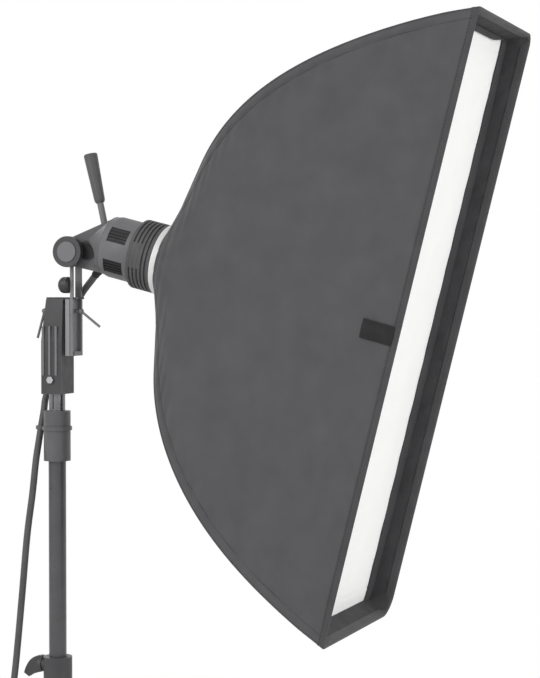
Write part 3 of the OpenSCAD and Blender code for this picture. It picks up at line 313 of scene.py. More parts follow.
def make_piece(name: str, shape: Surface, finishes: Sequence[Finish]) -> Piece:
    """Puts a surface into a mesh object at the origin.

    Args:
        name: The piece's name.
        shape: The surface.
        finishes: Finishes in the order of the surface's finish numbers.

    Returns:
        The new object.
    """
    mesh = bpy.data.meshes.new(name)
    mesh.from_pydata(shape.points.tolist(), [], shape.quads.tolist() + shape.tris.tolist())
    layer = mesh.uv_layers.new(name=UV_NAME)
    corner_uv = np.vstack([shape.quad_uv.reshape(-1, 2), np.zeros((3 * len(shape.tris), 2))])
    layer.data.foreach_set("uv", corner_uv.astype(np.float32).ravel())
    number = np.concatenate([shape.quad_finish, np.zeros(len(shape.tris), int)])
    mesh.polygons.foreach_set("material_index", number.astype(np.int32))
    for finish in finishes:
        mesh.materials.append(finish.material())
    work = bmesh.new()
    work.from_mesh(mesh)
    bmesh.ops.recalc_face_normals(work, faces=work.faces[:])
    work.to_mesh(mesh)
    work.free()
    mesh.polygons.foreach_set("use_smooth", np.ones(len(mesh.polygons), bool))
    mesh.set_sharp_from_angle(angle=SHARP_EDGE)
    mesh.update()
    piece = put(name, mesh)
    LOG.info("piece %s: %d points", name, len(shape.points))
    return piece


class FinishKind(Enum):
    """The ways in which a surface is made."""

    PAINT = "powder coat with lighter worn edges"
    METAL = "bare or plated metal"
    PLASTIC = "moulded plastic"
    RUBBER = "rubber"
    CLOTH = "woven cloth"
    FOIL = "silver coated lining"
    GLASS = "glass"


@dataclass(frozen=True)
class Finish:
    """One finish, with the numbers that its nodes take."""

    name: str
    kind: FinishKind
    tone: str
    rough: float
    grain: float = 700.0
    relief: float = 0.00006
    mottle: float = 0.10
    worn: str = "#8a8a8c"
    thread: float = 0.0012
    sheen: float = 0.0
    # Painted light: the part below a given y and below a given x takes a lighter tone; on the fork and
    # block it is a painted lit side, on the knob the lighter disc face.
    lit_side_and_disc_tone: str = ""
    near_y: float = 0.0
    near_x: float = 9.0
    gloss: float = 0.5
    # Painted shade: a soft ellipsoid, given by centre and radii, in which the colour darkens to a
    # near-black tone.
    painted_shade_at: tuple[float, float, float] = (0.0, 0.0, 0.0)
    painted_shade_size: tuple[float, float, float] = ()
    painted_shade_tone: str = "#151516"

    def material(self) -> Material:
        """Builds the finish's material.

        Returns:
            The material, made once for the file.
        """
        found = bpy.data.materials.get(self.name)
        if found is not None:
            return found
        made = bpy.data.materials.new(self.name)
        made.use_nodes = True
        made.diffuse_color = linear(self.tone)
        desk = NodeDesk(made)
        if self.kind is FinishKind.CLOTH:
            self._weave(desk)
        elif self.kind is FinishKind.FOIL:
            self._foil(desk)
        elif self.kind is FinishKind.GLASS:
            self._glass(desk)
        else:
            self._solid(desk)
        return made

    def _tones(self, desk: "NodeDesk", place: Socket, size: float) -> Socket:
        """Gives the finish's colour with soft lighter and darker patches of a given size."""
        base = np.array(linear(self.tone)[:3])
        ramp = desk.add("ShaderNodeValToRGB", {"Fac": desk.noise(place, 1.0 / size, 5.0)})
        low, high = ramp.color_ramp.elements
        low.position, high.position = 0.3, 0.7
        low.color = (*(base * (1.0 - self.mottle)), 1.0)
        high.color = (*np.minimum(base * (1.0 + self.mottle), 1.0), 1.0)
        return ramp.outputs["Color"]

    def _rough(self, desk: "NodeDesk", place: Socket, size: float) -> None:
        """Varies the roughness a little over patches of a given size."""
        low, high = max(self.rough - 0.07, 0.04), min(self.rough + 0.07, 1.0)
        desk.to_shader("Roughness", desk.span(desk.noise(place, 1.0 / size, 3.0), 0.3, 0.7, low, high))

    def _solid(self, desk: "NodeDesk") -> None:
        """Dresses paint, metal, plastic or rubber: fine grain, patches, worn paint edges, painted light and
        shade.
        """
        place = desk.add("ShaderNodeTexCoord").outputs["Object"]
        colour = self._tones(desk, place, 0.035)
        # Painted light: the part below a given y and x gets the lighter tone, a painted lit side on the
        # fork and block, the lighter disc face on the knob
        if self.lit_side_and_disc_tone:
            axes = desk.add("ShaderNodeSeparateXYZ", {"Vector": place})
            near = desk.maths("LESS_THAN", axes.outputs["Y"], self.near_y)
            left = desk.maths("LESS_THAN", axes.outputs["X"], self.near_x)
            colour = desk.mix(desk.maths("MULTIPLY", near, left), colour, self.lit_side_and_disc_tone)
        # Painted shade: darkens the colour inside a soft ellipsoid, standing in for the shade in the cap's
        # recess
        if self.painted_shade_size:
            away = desk.vector("SUBTRACT", place, self.painted_shade_at)
            scaled = desk.vector("DIVIDE", away.outputs["Vector"], self.painted_shade_size)
            far = desk.vector("LENGTH", scaled.outputs["Vector"]).outputs["Value"]
            colour = desk.mix(desk.span(far, 0.82, 1.05, 0.92, 0.0), colour, self.painted_shade_tone)
        if self.kind is FinishKind.PAINT:
            soft = desk.add("ShaderNodeBevel", {"Radius": 0.0009})
            soft.samples = 4
            sharp = desk.add("ShaderNodeNewGeometry")
            same = desk.vector("DOT_PRODUCT", soft.outputs["Normal"], sharp.outputs["Normal"])
            edge = desk.span(same.outputs["Value"], 0.985, 0.86, 0.0, 0.7)
            gate = desk.maths("MULTIPLY", edge, desk.noise(place, 260.0, 3.0))
            colour = desk.mix(gate, colour, self.worn)
        desk.to_shader("Base Color", colour)
        desk.shader.inputs["Metallic"].default_value = 1.0 if self.kind is FinishKind.METAL else 0.0
        desk.shader.inputs["Specular IOR Level"].default_value = self.gloss
        self._rough(desk, place, 0.012)
        desk.bump(desk.noise(place, self.grain, 4.0), self.relief)

    def _weave(self, desk: "NodeDesk") -> None:
        """Dresses cloth: threads that cross on the piece's own map, slubs, and soft patches."""
        place = desk.add("ShaderNodeUVMap").outputs["UV"]
        solid = desk.add("ShaderNodeTexCoord").outputs["Object"]
        turns = 2.0 * math.pi / (20.0 * self.thread)
        threads = []
        for way in ("X", "Y"):
            wave = desk.add("ShaderNodeTexWave", {"Vector": place, "Scale": turns, "Distortion": 0.6,
                                                  "Detail Scale": 0.4})
            wave.bands_direction = way
            threads.append(wave.outputs["Fac"])
        height = desk.maths("ADD", desk.maths("MULTIPLY", *threads), desk.noise(place, self.grain, 4.0))
        colour = self._tones(desk, solid, 0.05)
        shade = desk.span(height, 0.3, 1.5, 1.0 - 0.8 * self.mottle, 1.0 + 0.8 * self.mottle)
        desk.to_shader("Base Color", desk.vector("MULTIPLY", colour, shade).outputs["Vector"])
        desk.shader.inputs["Sheen Weight"].default_value = self.sheen
        desk.shader.inputs["Sheen Roughness"].default_value = 0.5
        self._rough(desk, solid, 0.03)
        desk.bump(height, self.relief)

    def _foil(self, desk: "NodeDesk") -> None:
        """Dresses the silver lining: bright, finely crinkled coated cloth."""
        place = desk.add("ShaderNodeTexCoord").outputs["Object"]
        desk.to_shader("Base Color", self._tones(desk, place, 0.04))
        desk.shader.inputs["Metallic"].default_value = 0.8
        self._rough(desk, place, 0.02)
        crinkle = desk.add("ShaderNodeTexVoronoi", {"Vector": place, "Scale": self.grain})
        desk.bump(crinkle.outputs["Distance"], self.relief)

    def _glass(self, desk: "NodeDesk") -> None:
        """Dresses frosted glass."""
        place = desk.add("ShaderNodeTexCoord").outputs["Object"]
        desk.shader.inputs["Base Color"].default_value = linear(self.tone)
        desk.shader.inputs["Transmission Weight"].default_value = 0.9
        self._rough(desk, place, 0.02)
        desk.bump(desk.noise(place, self.grain, 2.0), self.relief)


class NodeDesk:
    """Adds nodes to one material and links them."""

    def __init__(self, material: Material) -> None:
        """Starts on a material that uses nodes.

        Args:
            material: The material to work on.
        """
        self.tree = material.node_tree
        self.shader = self.tree.nodes["Principled BSDF"]

    def add(self, kind: str, inputs: dict[str | int, object] | None = None) -> bpy.types.Node:
        """Adds a node.

        Args:
            kind: The node's type name.
            inputs: Values, or sockets to link, for its inputs by name or number.

        Returns:
            The new node.
        """
        node = self.tree.nodes.new(kind)
        for key, value in (inputs or {}).items():
            if isinstance(value, Socket):
                self.tree.links.new(value, node.inputs[key])
            else:
                node.inputs[key].default_value = value
        return node

    def maths(self, operation: str, a: object, b: object) -> Socket:
        """Works out a number from two values or sockets."""
        node = self.add("ShaderNodeMath", {0: a, 1: b})
        node.operation = operation
        return node.outputs["Value"]

    def vector(self, operation: str, *parts: object) -> bpy.types.Node:
        """Adds a node that works on vectors, given as values or sockets."""
        node = self.add("ShaderNodeVectorMath", dict(enumerate(parts)))
        node.operation = operation
        return node

    def noise(self, place: Socket, scale: float, detail: float) -> Socket:
        """Gives a noise between 0 and 1 at a place."""
        inputs = {"Vector": place, "Scale": scale, "Detail": detail}
        return self.add("ShaderNodeTexNoise", inputs).outputs["Fac"]

    def span(self, value: Socket, low: float, high: float, to_low: float, to_high: float) -> Socket:
        """Maps the span from low to high onto the span from to_low to to_high."""
        inputs = {"Value": value, "From Min": low, "From Max": high, "To Min": to_low, "To Max": to_high}
        return self.add("ShaderNodeMapRange", inputs).outputs["Result"]

    def mix(self, share: Socket, colour: Socket, tone: str) -> Socket:
        """Mixes a share of one plain tone into a colour.

        Args:
            share: How much of the tone, from 0 to 1.
            colour: The colour it goes into.
            tone: The plain tone as a hex code.

        Returns:
            The mixed colour.
        """
        node = self.tree.nodes.new("ShaderNodeMix")
        node.data_type = "RGBA"
        node.inputs[7].default_value = linear(tone)
        self.tree.links.new(colour, node.inputs[6])
        self.tree.links.new(share, node.inputs[0])
        return node.outputs[2]

    def to_shader(self, name: str, socket: Socket) -> None:
        """Links a socket to one of the shader's inputs."""
        self.tree.links.new(socket, self.shader.inputs[name])

    def bump(self, height: Socket, depth: float) -> None:
        """Raises the surface by a height map of the given depth in metres."""
        node = self.add("ShaderNodeBump", {"Strength": 0.6, "Distance": depth, "Height": height})
        self.to_shader("Normal", node.outputs["Normal"])


class Look:
    """The finishes of the object's own materials; some of them paint in light and shade."""

    SHELL = Finish("shell_cloth", FinishKind.CLOTH, "#4e4e50", 0.78, 900.0, 0.00025, 0.07, sheen=0.15)
    BINDING = Finish("binding_cloth", FinishKind.CLOTH, "#454547", 0.8, 900.0, 0.0003, 0.12, sheen=0.1)
    THREAD = Finish("thread", FinishKind.CLOTH, "#2c2c2e", 0.7, 1500.0, 0.0001, 0.1)
    LINING = Finish("lip_cloth", FinishKind.CLOTH, "#3a3a3c", 0.85, 700.0, 0.0004, 0.16, thread=0.0018)
    SILVER = Finish("silver_lining", FinishKind.FOIL, "#c9cacc", 0.38, 160.0, 0.0006, 0.05)
    WHITE = Finish("diffuser_cloth", FinishKind.CLOTH, "#fdfdfc", 0.8, 900.0, 0.00012, 0.015)
    TAB = Finish("tab_webbing", FinishKind.CLOTH, "#1d1d1f", 0.85, 900.0, 0.0005, 0.2, thread=0.0016)
    STAND = Finish("stand_paint", FinishKind.PAINT, "#4d4d4f", 0.34, 900.0, 0.00005, 0.12, "#78787a")
    CAST = Finish("cast_paint", FinishKind.PAINT, "#3e3e40", 0.5, 500.0, 0.00012, 0.14, "#9a9a9c")
    # Painted light: the near cheek, below y -0.0112 and x 0.0312, is painted a lighter grey as if lit; the
    # far cheek keeps the darker tone of its shaded side.
    FORK = Finish("fork_paint", FinishKind.PAINT, "#767678", 0.45, 600.0, 0.00008, 0.1, "#9a9a9c",
                  lit_side_and_disc_tone="#8e8e90", near_y=-0.0112, near_x=0.0312)
    LEVER = Finish("lever_steel", FinishKind.PAINT, "#707072", 0.4, 500.0, 0.00005, 0.1)
    COLLAR = Finish("collar_paint", FinishKind.PAINT, "#59595b", 0.45, 700.0, 0.00006, 0.1, "#8a8a8c")
    # Painted highlight: the block's near face and its ribs, below y -0.0224, are painted a much lighter
    # grey as if lit; the other faces keep the dark tone of their shaded sides.
    BLOCK = Finish("block_paint", FinishKind.PAINT, "#3a3a3c", 0.5, 500.0, 0.00012, 0.14, "#9a9a9c",
                   lit_side_and_disc_tone="#717173", near_y=-0.0224)
    PLATE = Finish("plate_paint", FinishKind.PAINT, "#5c5c5e", 0.8, 400.0, 0.00005, 0.1, gloss=0.05)
    BRIGHT = Finish("bright_steel", FinishKind.METAL, "#b8b8ba", 0.28, 500.0, 0.00003, 0.08)
    NECK = Finish("neck_steel", FinishKind.METAL, "#77777a", 0.32, 500.0, 0.00003, 0.1)
    HANDLE = Finish("handle_plastic", FinishKind.PLASTIC, "#505052", 0.42, 900.0, 0.00008, 0.1)
    KNOB = Finish("knob_plastic", FinishKind.PLASTIC, "#2e2e30", 0.45, 900.0, 0.00008, 0.1)
    DISC = Finish("knob_disc", FinishKind.PLASTIC, "#3c3c3e", 0.45, 900.0, 0.00008, 0.1,
                  lit_side_and_disc_tone="#6e6e70", near_y=-0.0321)
    GRIP = Finish("collar_rubber", FinishKind.RUBBER, "#515152", 0.7, 900.0, 0.00012, 0.12)
    RUBBER = Finish("rubber", FinishKind.RUBBER, "#1b1b1d", 0.72, 900.0, 0.00012, 0.15)
    HEAD = Finish("head_paint", FinishKind.PAINT, "#69696b", 0.55, 1100.0, 0.00007, 0.08, "#7a7a7c")
    # Painted shade: the recess beside the tilt knob is darkened to near black inside an ellipsoid round the
    # given centre.
    CAP = Finish("cap_paint", FinishKind.PAINT, "#5e5e60", 0.6, 1100.0, 0.00007, 0.08, "#7a7a7c",
                 painted_shade_at=(0.060, 0.0, 1.3375), painted_shade_size=(0.0185, 10.0, 0.0165))
    VENT = Finish("vent_plastic", FinishKind.PLASTIC, "#101011", 0.6, 900.0, 0.00006, 0.15)
    CERAMIC = Finish("lamp_porcelain", FinishKind.PLASTIC, "#d8d2c4", 0.5, 500.0, 0.00008, 0.06)
    BULB = Finish("lamp_opal", FinishKind.PLASTIC, "#eeeae0", 0.25, 700.0, 0.00002, 0.03)
    GLASS = Finish("dome_glass", FinishKind.GLASS, "#eef2f2", 0.3, 500.0, 0.00005)
    RING = Finish("ring_white", FinishKind.PLASTIC, "#e4e4e2", 0.4, 700.0, 0.00004, 0.05)
    RING_DARK = Finish("ring_black", FinishKind.PAINT, "#232325", 0.45, 800.0, 0.00006, 0.1, "#7c7c7e")
    CABLE = Finish("cable_sheath", FinishKind.RUBBER, "#4e4e50", 0.55, 600.0, 0.0001, 0.15)
    CLIP = Finish("clip_nylon", FinishKind.PLASTIC, "#1a1a1b", 0.5, 800.0, 0.00006, 0.12)


@dataclass
class Studio:
    """Camera, lamps, floor and white surround."""

    camera_at: tuple[float, float, float] = (1.391, -2.733, 1.279)
    look_at: tuple[float, float, float] = (0.364, 0.0, 1.2)
    focal_px: float = 1906.4
    image_h: int = 678
    film: float = 36.0
    floor_half: float = 9.0
    fade_from: float = 1.6
    fade_to: float = 3.2
    surround: float = 0.62

    def build(self) -> None:
        """Makes the camera, the floor, the surround and the lamps."""
        self.camera()
        self.floor()
        self.world()
        self.lamp("key", (-1.3, -3.4, 3.1), (0.3, 0.0, 1.2), 2.2, 62.0)
        self.lamp("fill", (4.2, -0.8, 1.8), (0.4, 0.0, 1.2), 2.0, 46.0)
        self.lamp("back", (-2.2, 2.4, 2.6), (0.1, 0.0, 1.2), 1.6, 24.0)
        bpy.context.scene.view_settings.view_transform = "Standard"

    def aim(self, thing: Piece, at: Sequence[float], target: Sequence[float]) -> None:
        """Puts a camera or lamp at a place and turns it to a target."""
        thing.location = at
        thing.rotation_euler = (Vector(target) - Vector(at)).to_track_quat("-Z", "Y").to_euler()

    def camera(self) -> None:
        """Makes the camera of the photograph's view."""
        data = bpy.data.cameras.new("camera")
        data.sensor_width = self.film
        data.lens = self.focal_px * self.film / self.image_h
        data.clip_end = 60.0
        camera = put("camera", data)
        self.aim(camera, self.camera_at, self.look_at)
        bpy.context.scene.camera = camera

    def lamp(self, name: str, at: Sequence[float], target: Sequence[float], size: float,
             watts: float) -> None:
        """Makes one large soft lamp."""
        data = bpy.data.lights.new(name, "AREA")
        data.size = size
        data.energy = watts
        self.aim(put(name, data), at, target)

    def seen(self, tree: bpy.types.NodeTree) -> Socket:
        """Gives a value that is 1 for rays from the camera, mirror rays and rays through glass."""
        path = tree.nodes.new("ShaderNodeLightPath")
        value = path.outputs["Is Camera Ray"]
        for name in ("Is Glossy Ray", "Is Transmission Ray"):
            most = tree.nodes.new("ShaderNodeMath")
            most.operation = "MAXIMUM"
            tree.links.new(value, most.inputs[0])
            tree.links.new(path.outputs[name], most.inputs[1])
            value = most.outputs["Value"]
        return value

    def world(self) -> None:
        """Makes a white surround that lights the object at a plain level."""
        world = bpy.data.worlds.new("surround")
        bpy.context.scene.world = world
        world.use_nodes = True
        tree = world.node_tree
        span = tree.nodes.new("ShaderNodeMapRange")
        span.inputs["To Min"].default_value = self.surround
        span.inputs["To Max"].default_value = 1.0
        tree.links.new(self.seen(tree), span.inputs["Value"])
        back = tree.nodes["Background"]
        back.inputs["Color"].default_value = (1.0, 1.0, 1.0, 1.0)
        tree.links.new(span.outputs["Result"], back.inputs["Strength"])

    def floor(self) -> None:
        """Makes the pale floor, which fades to the white surround away from the object."""
        half = self.floor_half
        rim = [(-half, -half, 0), (half, -half, 0), (half, half, 0), (-half, half, 0)]
        mesh = bpy.data.meshes.new("floor")
        mesh.from_pydata(rim, [], [(0, 1, 2, 3)])
        floor = put("floor", mesh)
        made = bpy.data.materials.new("floor_paper")
        made.use_nodes = True
        desk = NodeDesk(made)
        desk.shader.inputs["Base Color"].default_value = (0.86, 0.86, 0.86, 1.0)
        desk.shader.inputs["Roughness"].default_value = 0.9
        place = desk.add("ShaderNodeTexCoord").outputs["Object"]
        far = desk.vector("LENGTH", place).outputs["Value"]
        reach = {"Value": far, "From Min": self.fade_from, "From Max": self.fade_to}
        fade = desk.add("ShaderNodeMapRange", reach)
        fade.interpolation_type = "SMOOTHSTEP"
        gate = desk.maths("MULTIPLY", fade.outputs["Result"], self.seen(desk.tree))
        white = desk.add("ShaderNodeEmission")
        mix = desk.add("ShaderNodeMixShader", {0: gate, 1: desk.shader.outputs["BSDF"],
                                               2: white.outputs["Emission"]})
        desk.tree.links.new(mix.outputs["Shader"], desk.tree.nodes["Material Output"].inputs["Surface"])
        mesh.materials.append(made)


@dataclass
class Cable:
    """The lamp cable: three held stretches, a coil on the floor and its tie."""

    gland: tuple[float, float, float] = (0.073, 0.004, 1.3068)
    gland_way: tuple[float, float, float] = (-44.0, 30.0, -37.0)
    gland_l: float = 0.014
    thick: float = 0.011
    loops: float = 7.0
    coil_r: float = 0.085
    pitch: float = 0.0116
    tail: float = 0.048
    tie_w: float = 0.020
    tie_t: float = 0.0008
    gap: float = 0.0003
    clip_at: int = 5
    strap_at: int = 11
    steps: int = 8
    route_mm: tuple[tuple[float, float, float], ...] = (
        (32, 28, 1271), (13, 34, 1246), (3, 35, 1216), (0, 34, 1190), (-4, 33, 1164), (-14, 31, 1142),
        (-26, 26, 1120), (-31, 20, 1100), (-31, 14, 1080), (-32, 6, 1054), (-31, -6, 1026),
        (-30.5, -15.5, 1000), (-34.7, -19, 950), (-45, -18.5, 880), (-55.4, -17.5, 780), (-69.7, -16, 655),
        (-83, -24, 540), (-93, -41, 420), (-102, -58, 300), (-109, -73, 200), (-114, -85, 130),
        (-116, -92, 80), (-118, -84, 41), (-119, -58, 16), (-120, -24, 6.7), (-120, -11, 6.7))

    def route(self) -> Array:
        """Gives the points that the cable is led through, from the gland to the coil."""
        way = unit(np.array(self.gland_way))
        end = np.array(self.gland) + self.gland_l * way
        return np.vstack([end, end + self.thick * way, np.array(self.route_mm) / 1000.0])

    def curve(self, first: int, last: int) -> Array:
        """Runs a smooth curve through the route: a cubic that has each point's neighbours as its slope.

        Args:
            first: Number of the first point.
            last: Number of the last point.

        Returns:
            Points of the curve between them.
        """
        points = self.route()
        top = len(points) - 1
        k = np.repeat(np.arange(first, last), self.steps)
        t = np.tile(np.arange(self.steps) / self.steps, last - first)[:, None]
        a, b = points[np.maximum(k - 1, 0)], points[k]
        c, d = points[np.minimum(k + 1, top)], points[np.minimum(k + 2, top)]
        square, cube = 2 * a - 5 * b + 4 * c - d, 3 * b - a - 3 * c + d
        line = 0.5 * (2 * b + (c - a) * t + square * t**2 + cube * t**3)
        return np.vstack([line, points[last]])

    def coil(self) -> Array:
        """Winds the rest: in on the floor, up one thickness in the half turn inside, and out on top."""
        start = self.route()[-1]
        half = self.loops / 2
        q = np.arange(0.0, self.loops + 1e-9, 1.0 / 48.0)
        r = self.coil_r - half * self.pitch + np.abs(q - half) * self.pitch
        turn = 2.0 * np.pi * q
        line = np.stack([start[0] - self.coil_r + r * np.cos(turn), r * np.sin(turn),
                         start[2] + self.pitch * smooth((q - half) * 2 + 0.5, 0.0, 1.0)], axis=1)
        tail = line[-1] + [[0.0, self.tail / 2, 0.0], [0.0, self.tail, 0.0]]
        return np.vstack([line, tail])

    def build(self, nodes: dict[str, Piece]) -> None:
        """Args:
            nodes: The CAD nodes by name.
        """
        last = len(self.route()) - 1
        tilt = self.curve(0, self.clip_at)
        pan = self.curve(self.clip_at, self.strap_at)
        drop = np.vstack([self.curve(self.strap_at, last), self.coil()])
        tie = self.tie()
        plans = (
            ("lead_tilt", tilt, "object", "hanging", (), ("cord_tilt",)),
            ("lead_pan", pan, "object", "hanging", (), ("cord_pan",)),
            ("lead_drop", drop, "plug", "coiled", (nodes["plug"], tie), ("cord_drop", "cord_coil")),
        )
        made: dict[str, Piece] = {}
        for name, path, far_end, lay, others, stands_for in plans:
            piece = make_piece(name, self.hose(path), [Look.CABLE])
            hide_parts(*stands_for)
            made[name] = piece
        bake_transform(made["lead_tilt"])
        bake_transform(made["lead_pan"])
        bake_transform(made["lead_drop"])

    def hose(self, path: Array) -> Surface:
        """Makes the round cable along a path, with rings turned as little as the path allows."""
        along = headings(path)
        side = np.zeros_like(along)
        side[0] = unit(np.cross(along[0], [0.3, 0.2, 1.0]))
        for i in range(1, len(path)):
            side[i] = unit(side[i - 1] - along[i] * np.dot(side[i - 1], along[i]))
        up = np.cross(along, side)
        return carry(path, side, up, circle(16) * self.thick / 2)

    def tie(self) -> Piece:
        """Makes the strap round the coil's far side, a flat loop with round corners."""
        start = self.route()[-1]
        half = self.loops / 2
        inner = self.coil_r - half * self.pitch
        room = self.thick / 2 + self.gap + self.tie_t / 2
        low = math.sqrt((inner - room) ** 2 - (self.tie_w / 2) ** 2)
        high = inner + (half - 0.5) * self.pitch + room
        top = start[2] + self.pitch + room
        bottom = start[2] - room
        turn = np.linspace(0.0, 2.0 * np.pi, 96, endpoint=False)
        cut = 0.005
        corner_x = np.where(np.cos(turn) > 0, high - cut, low + cut)
        corner_z = np.where(np.sin(turn) > 0, top - cut, bottom + cut)
        x = start[0] - self.coil_r - (corner_x + cut * np.cos(turn))
        loop = np.stack([x, np.zeros(96), corner_z + cut * np.sin(turn)], axis=1)
        loop = even(loop, 120)
        across = np.broadcast_to([0.0, 1.0, 0.0], loop.shape)
        out = np.cross(headings(loop, True), across)
        w, t = self.tie_w / 2, self.tie_t / 2
        outline = np.array([[-w, -t], [w, -t], [w, t], [-w, t]])
        shape = carry(loop, across, out, outline, True)
        piece = make_piece("coil_strap", shape, [Look.TAB])
        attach(piece, "stand_base")
        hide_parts("coil_tie")
        return piece


class Side(Enum):
    """The softbox's long sides, by the sign of their place across the light."""

    NEAR = -1.0
    FAR = 1.0


class End(Enum):
    """The softbox's short ends, by the sign of their height."""

    TOP = 1.0
    BOTTOM = -1.0


# Shift of the waves in each panel's cloth
SIDE_PHASE = {Side.NEAR: 0.7, Side.FAR: 2.9}
END_PHASE = {End.TOP: 1.9, End.BOTTOM: 4.2}


@dataclass
class Softbox:
    """The cloth box: four panels on spring rods, the lip, the diffuser, the baffle and the tab.

    Its own axes are u along the light from the speed ring, w across it and v up.
    """

    pivot: tuple[float, float, float] = (0.033, 0.0, 1.3353)
    tilt: float = math.radians(14.1)
    pivot_back: float = 0.133
    pivot_low: float = 0.0246
    rear_u: float = 0.032
    rear_h: float = 0.057
    rear_w: float = 0.0207
    front_u: float = 0.465
    front_h: float = 0.467
    front_w: float = 0.1625
    straight: float = 0.112
    lean: float = math.radians(19.5)
    bow: float = 0.2015
    split: float = 0.3
    side_round: float = 2.6
    end_sag: float = 0.006
    droop: float = 0.0028
    cloth_t: float = 0.0012
    gap: float = 0.0003
    lip_depth: float = 0.037
    lip_run: float = 2.42
    border_w: float = 0.026
    border_top: float = 0.009
    sleeve_w: float = 0.014
    rod_inset: float = 0.007
    rod_r: float = 0.002
    corner_near: float = 0.005
    corner_far_top: float = 0.020
    corner_far_bottom: float = 0.032
    corner_flat: float = 0.002
    baffle_u: float = 0.230
    baffle_share: float = 0.8
    tab_l: float = 0.052
    tab_w: float = 0.028
    tab_back: float = 0.008
    tab_v: float = -0.006
    rows: int = 121
    cols: int = 141

    def turn(self, local: Array) -> Array:
        """Turns directions from the softbox's own axes to the frame's."""
        c, s = math.cos(self.tilt), math.sin(self.tilt)
        u, w, v = np.moveaxis(local, -1, 0)
        return grid(u * c + v * s, w, v * c - u * s)

    def place(self, local: Array) -> Array:
        """Moves points from the softbox's own axes to the frame's, with the box's sag between its ends."""
        share = np.clip((local[..., 0] - self.rear_u) / (self.front_u - self.rear_u), 0.0, 1.0)
        sag = self.droop * np.sin(np.pi * share) ** 2
        u, w, v = np.moveaxis(local, -1, 0)
        return self.turn(grid(u + self.pivot_back, w, v + self.pivot_low - sag)) + np.array(self.pivot)

    def seam(self, s: Array) -> tuple[Array, Array]:
        """Gives a corner seam's u and height: straight out of the ring, then a bow to the front edge."""
        s = np.asarray(s, float)[..., None]
        a = np.array([self.rear_u, self.rear_h])
        way = np.array([math.sin(self.lean), math.cos(self.lean)])
        b = a + self.straight * way
        c = b + self.bow * way
        d = np.array([self.front_u, self.front_h])
        t = np.clip((s - self.split) / (1.0 - self.split), 0.0, 1.0)
        line = a + s / self.split * (b - a)
        curve = (1 - t) ** 2 * b + 2 * t * (1 - t) * c + t**2 * d
        at = np.where(s < self.split, line, curve)
        return at[..., 0], at[..., 1]

    def slope(self, s: Array) -> tuple[Array, Array]:
        """Gives the seam's direction, seen from the side."""
        low, high = np.clip(s - 0.004, 0.0, 1.0), np.clip(s + 0.004, 0.0, 1.0)
        u0, h0 = self.seam(low)
        u1, h1 = self.seam(high)
        size = np.hypot(u1 - u0, h1 - h0)
        return (u1 - u0) / size, (h1 - h0) / size

    def seam_at(self, u: Array | float) -> Array:
        """Finds the place along the seam at a distance from the ring."""
        table = np.linspace(0.0, 1.0, 2001)
        return np.interp(u, self.seam(table)[0], table)

    def along(self, s: Array) -> Array:
        """Gives the length of seam up to each place."""
        table = np.linspace(0.0, 1.0, 801)
        return np.interp(s, table, run_of(np.column_stack(self.seam(table))))

    def seam_w(self, s: Array) -> Array:
        """Gives the box's half width at the corner seams."""
        share = (self.seam(s)[1] - self.rear_h) / (self.front_h - self.rear_h)
        return self.rear_w + share * (self.front_w - self.rear_w)

    def middle_w(self, s: Array) -> Array:
        """Gives the box's half width half way up the side panels."""
        rear = math.hypot(self.rear_h, self.rear_w)
        share = (self.seam(s)[0] - self.rear_u) / (self.front_u - self.rear_u)
        return rear + share * (self.front_w - rear)

    def bulge(self, s: Array) -> Array:
        """Gives the end panels' rise over their seams: round at the ring, drawn in further on."""
        rear = math.hypot(self.rear_h, self.rear_w) - self.rear_h
        return rear * (1 - s) ** 2 - self.end_sag * 4 * s * (1 - s)

    def corner(self, side: Side, end: End, u: Array) -> Array:
        """Gives the radius of a corner, which opens in front of the rods' tips."""
        if side is Side.NEAR:
            most = self.corner_near
        else:
            most = self.corner_far_top if end is End.TOP else self.corner_far_bottom
        return self.corner_flat + (most - self.corner_flat) * smooth(u, 0.415, 0.458)

    def side_points(self, side: Side, s: Array, f: Array, lift: Array | float) -> Array:
        """Gives points of a side panel: w runs from the middle to the seam with the share's power.

        Args:
            side: Which panel.
            s: Place along the seam, from 0 at the ring to 1 at the front.
            f: Share of the height, from -1 to 1.
            lift: Distance outward from the panel's even shape.

        Returns:
            Points in the frame's axes.
        """
        u, h = self.seam(s)
        middle = self.middle_w(s)
        w = middle + (self.seam_w(s) - middle) * np.abs(f) ** self.side_round
        r = np.where(f > 0, self.corner(side, End.TOP, u), self.corner(side, End.BOTTOM, u))
        a = np.clip(np.abs(f) * h - (h - r), 0.0, r)
        bend = a / r * np.pi / 4
        v = np.sign(f) * (np.abs(f) * h - a + r * np.sin(bend))
        w = w - r * (1 - np.cos(bend)) + lift
        return self.place(grid(u, side.value * w, v))

    def end_points(self, end: End, s: Array, f: Array, lift: Array | float, depth: float) -> Array:
        """Gives points of an end panel, whose middle rises over the line between its seams.

        Args:
            end: Which panel.
            s: Place along the seam.
            f: Share of the width, from -1 on the near side to 1.
            lift: Distance outward from the panel's even shape.
            depth: Distance inward, square to the seam.

        Returns:
            Points in the frame's axes.
        """
        u, h = self.seam(s)
        way_u, way_h = self.slope(s)
        half = self.seam_w(s) - self.cloth_t - self.gap
        r = np.where(f < 0, self.corner(Side.NEAR, end, u), self.corner(Side.FAR, end, u))
        b = np.clip(np.abs(f) * half - (half - r), 0.0, r)
        bend = b / r * np.pi / 4
        w = np.sign(f) * (np.abs(f) * half - b + r * np.sin(bend))
        v = h - way_u * depth + self.bulge(s) * (1 - f**2) - r * (1 - np.cos(bend)) + lift
        return self.place(grid(u + way_h * depth, w, end.value * v))

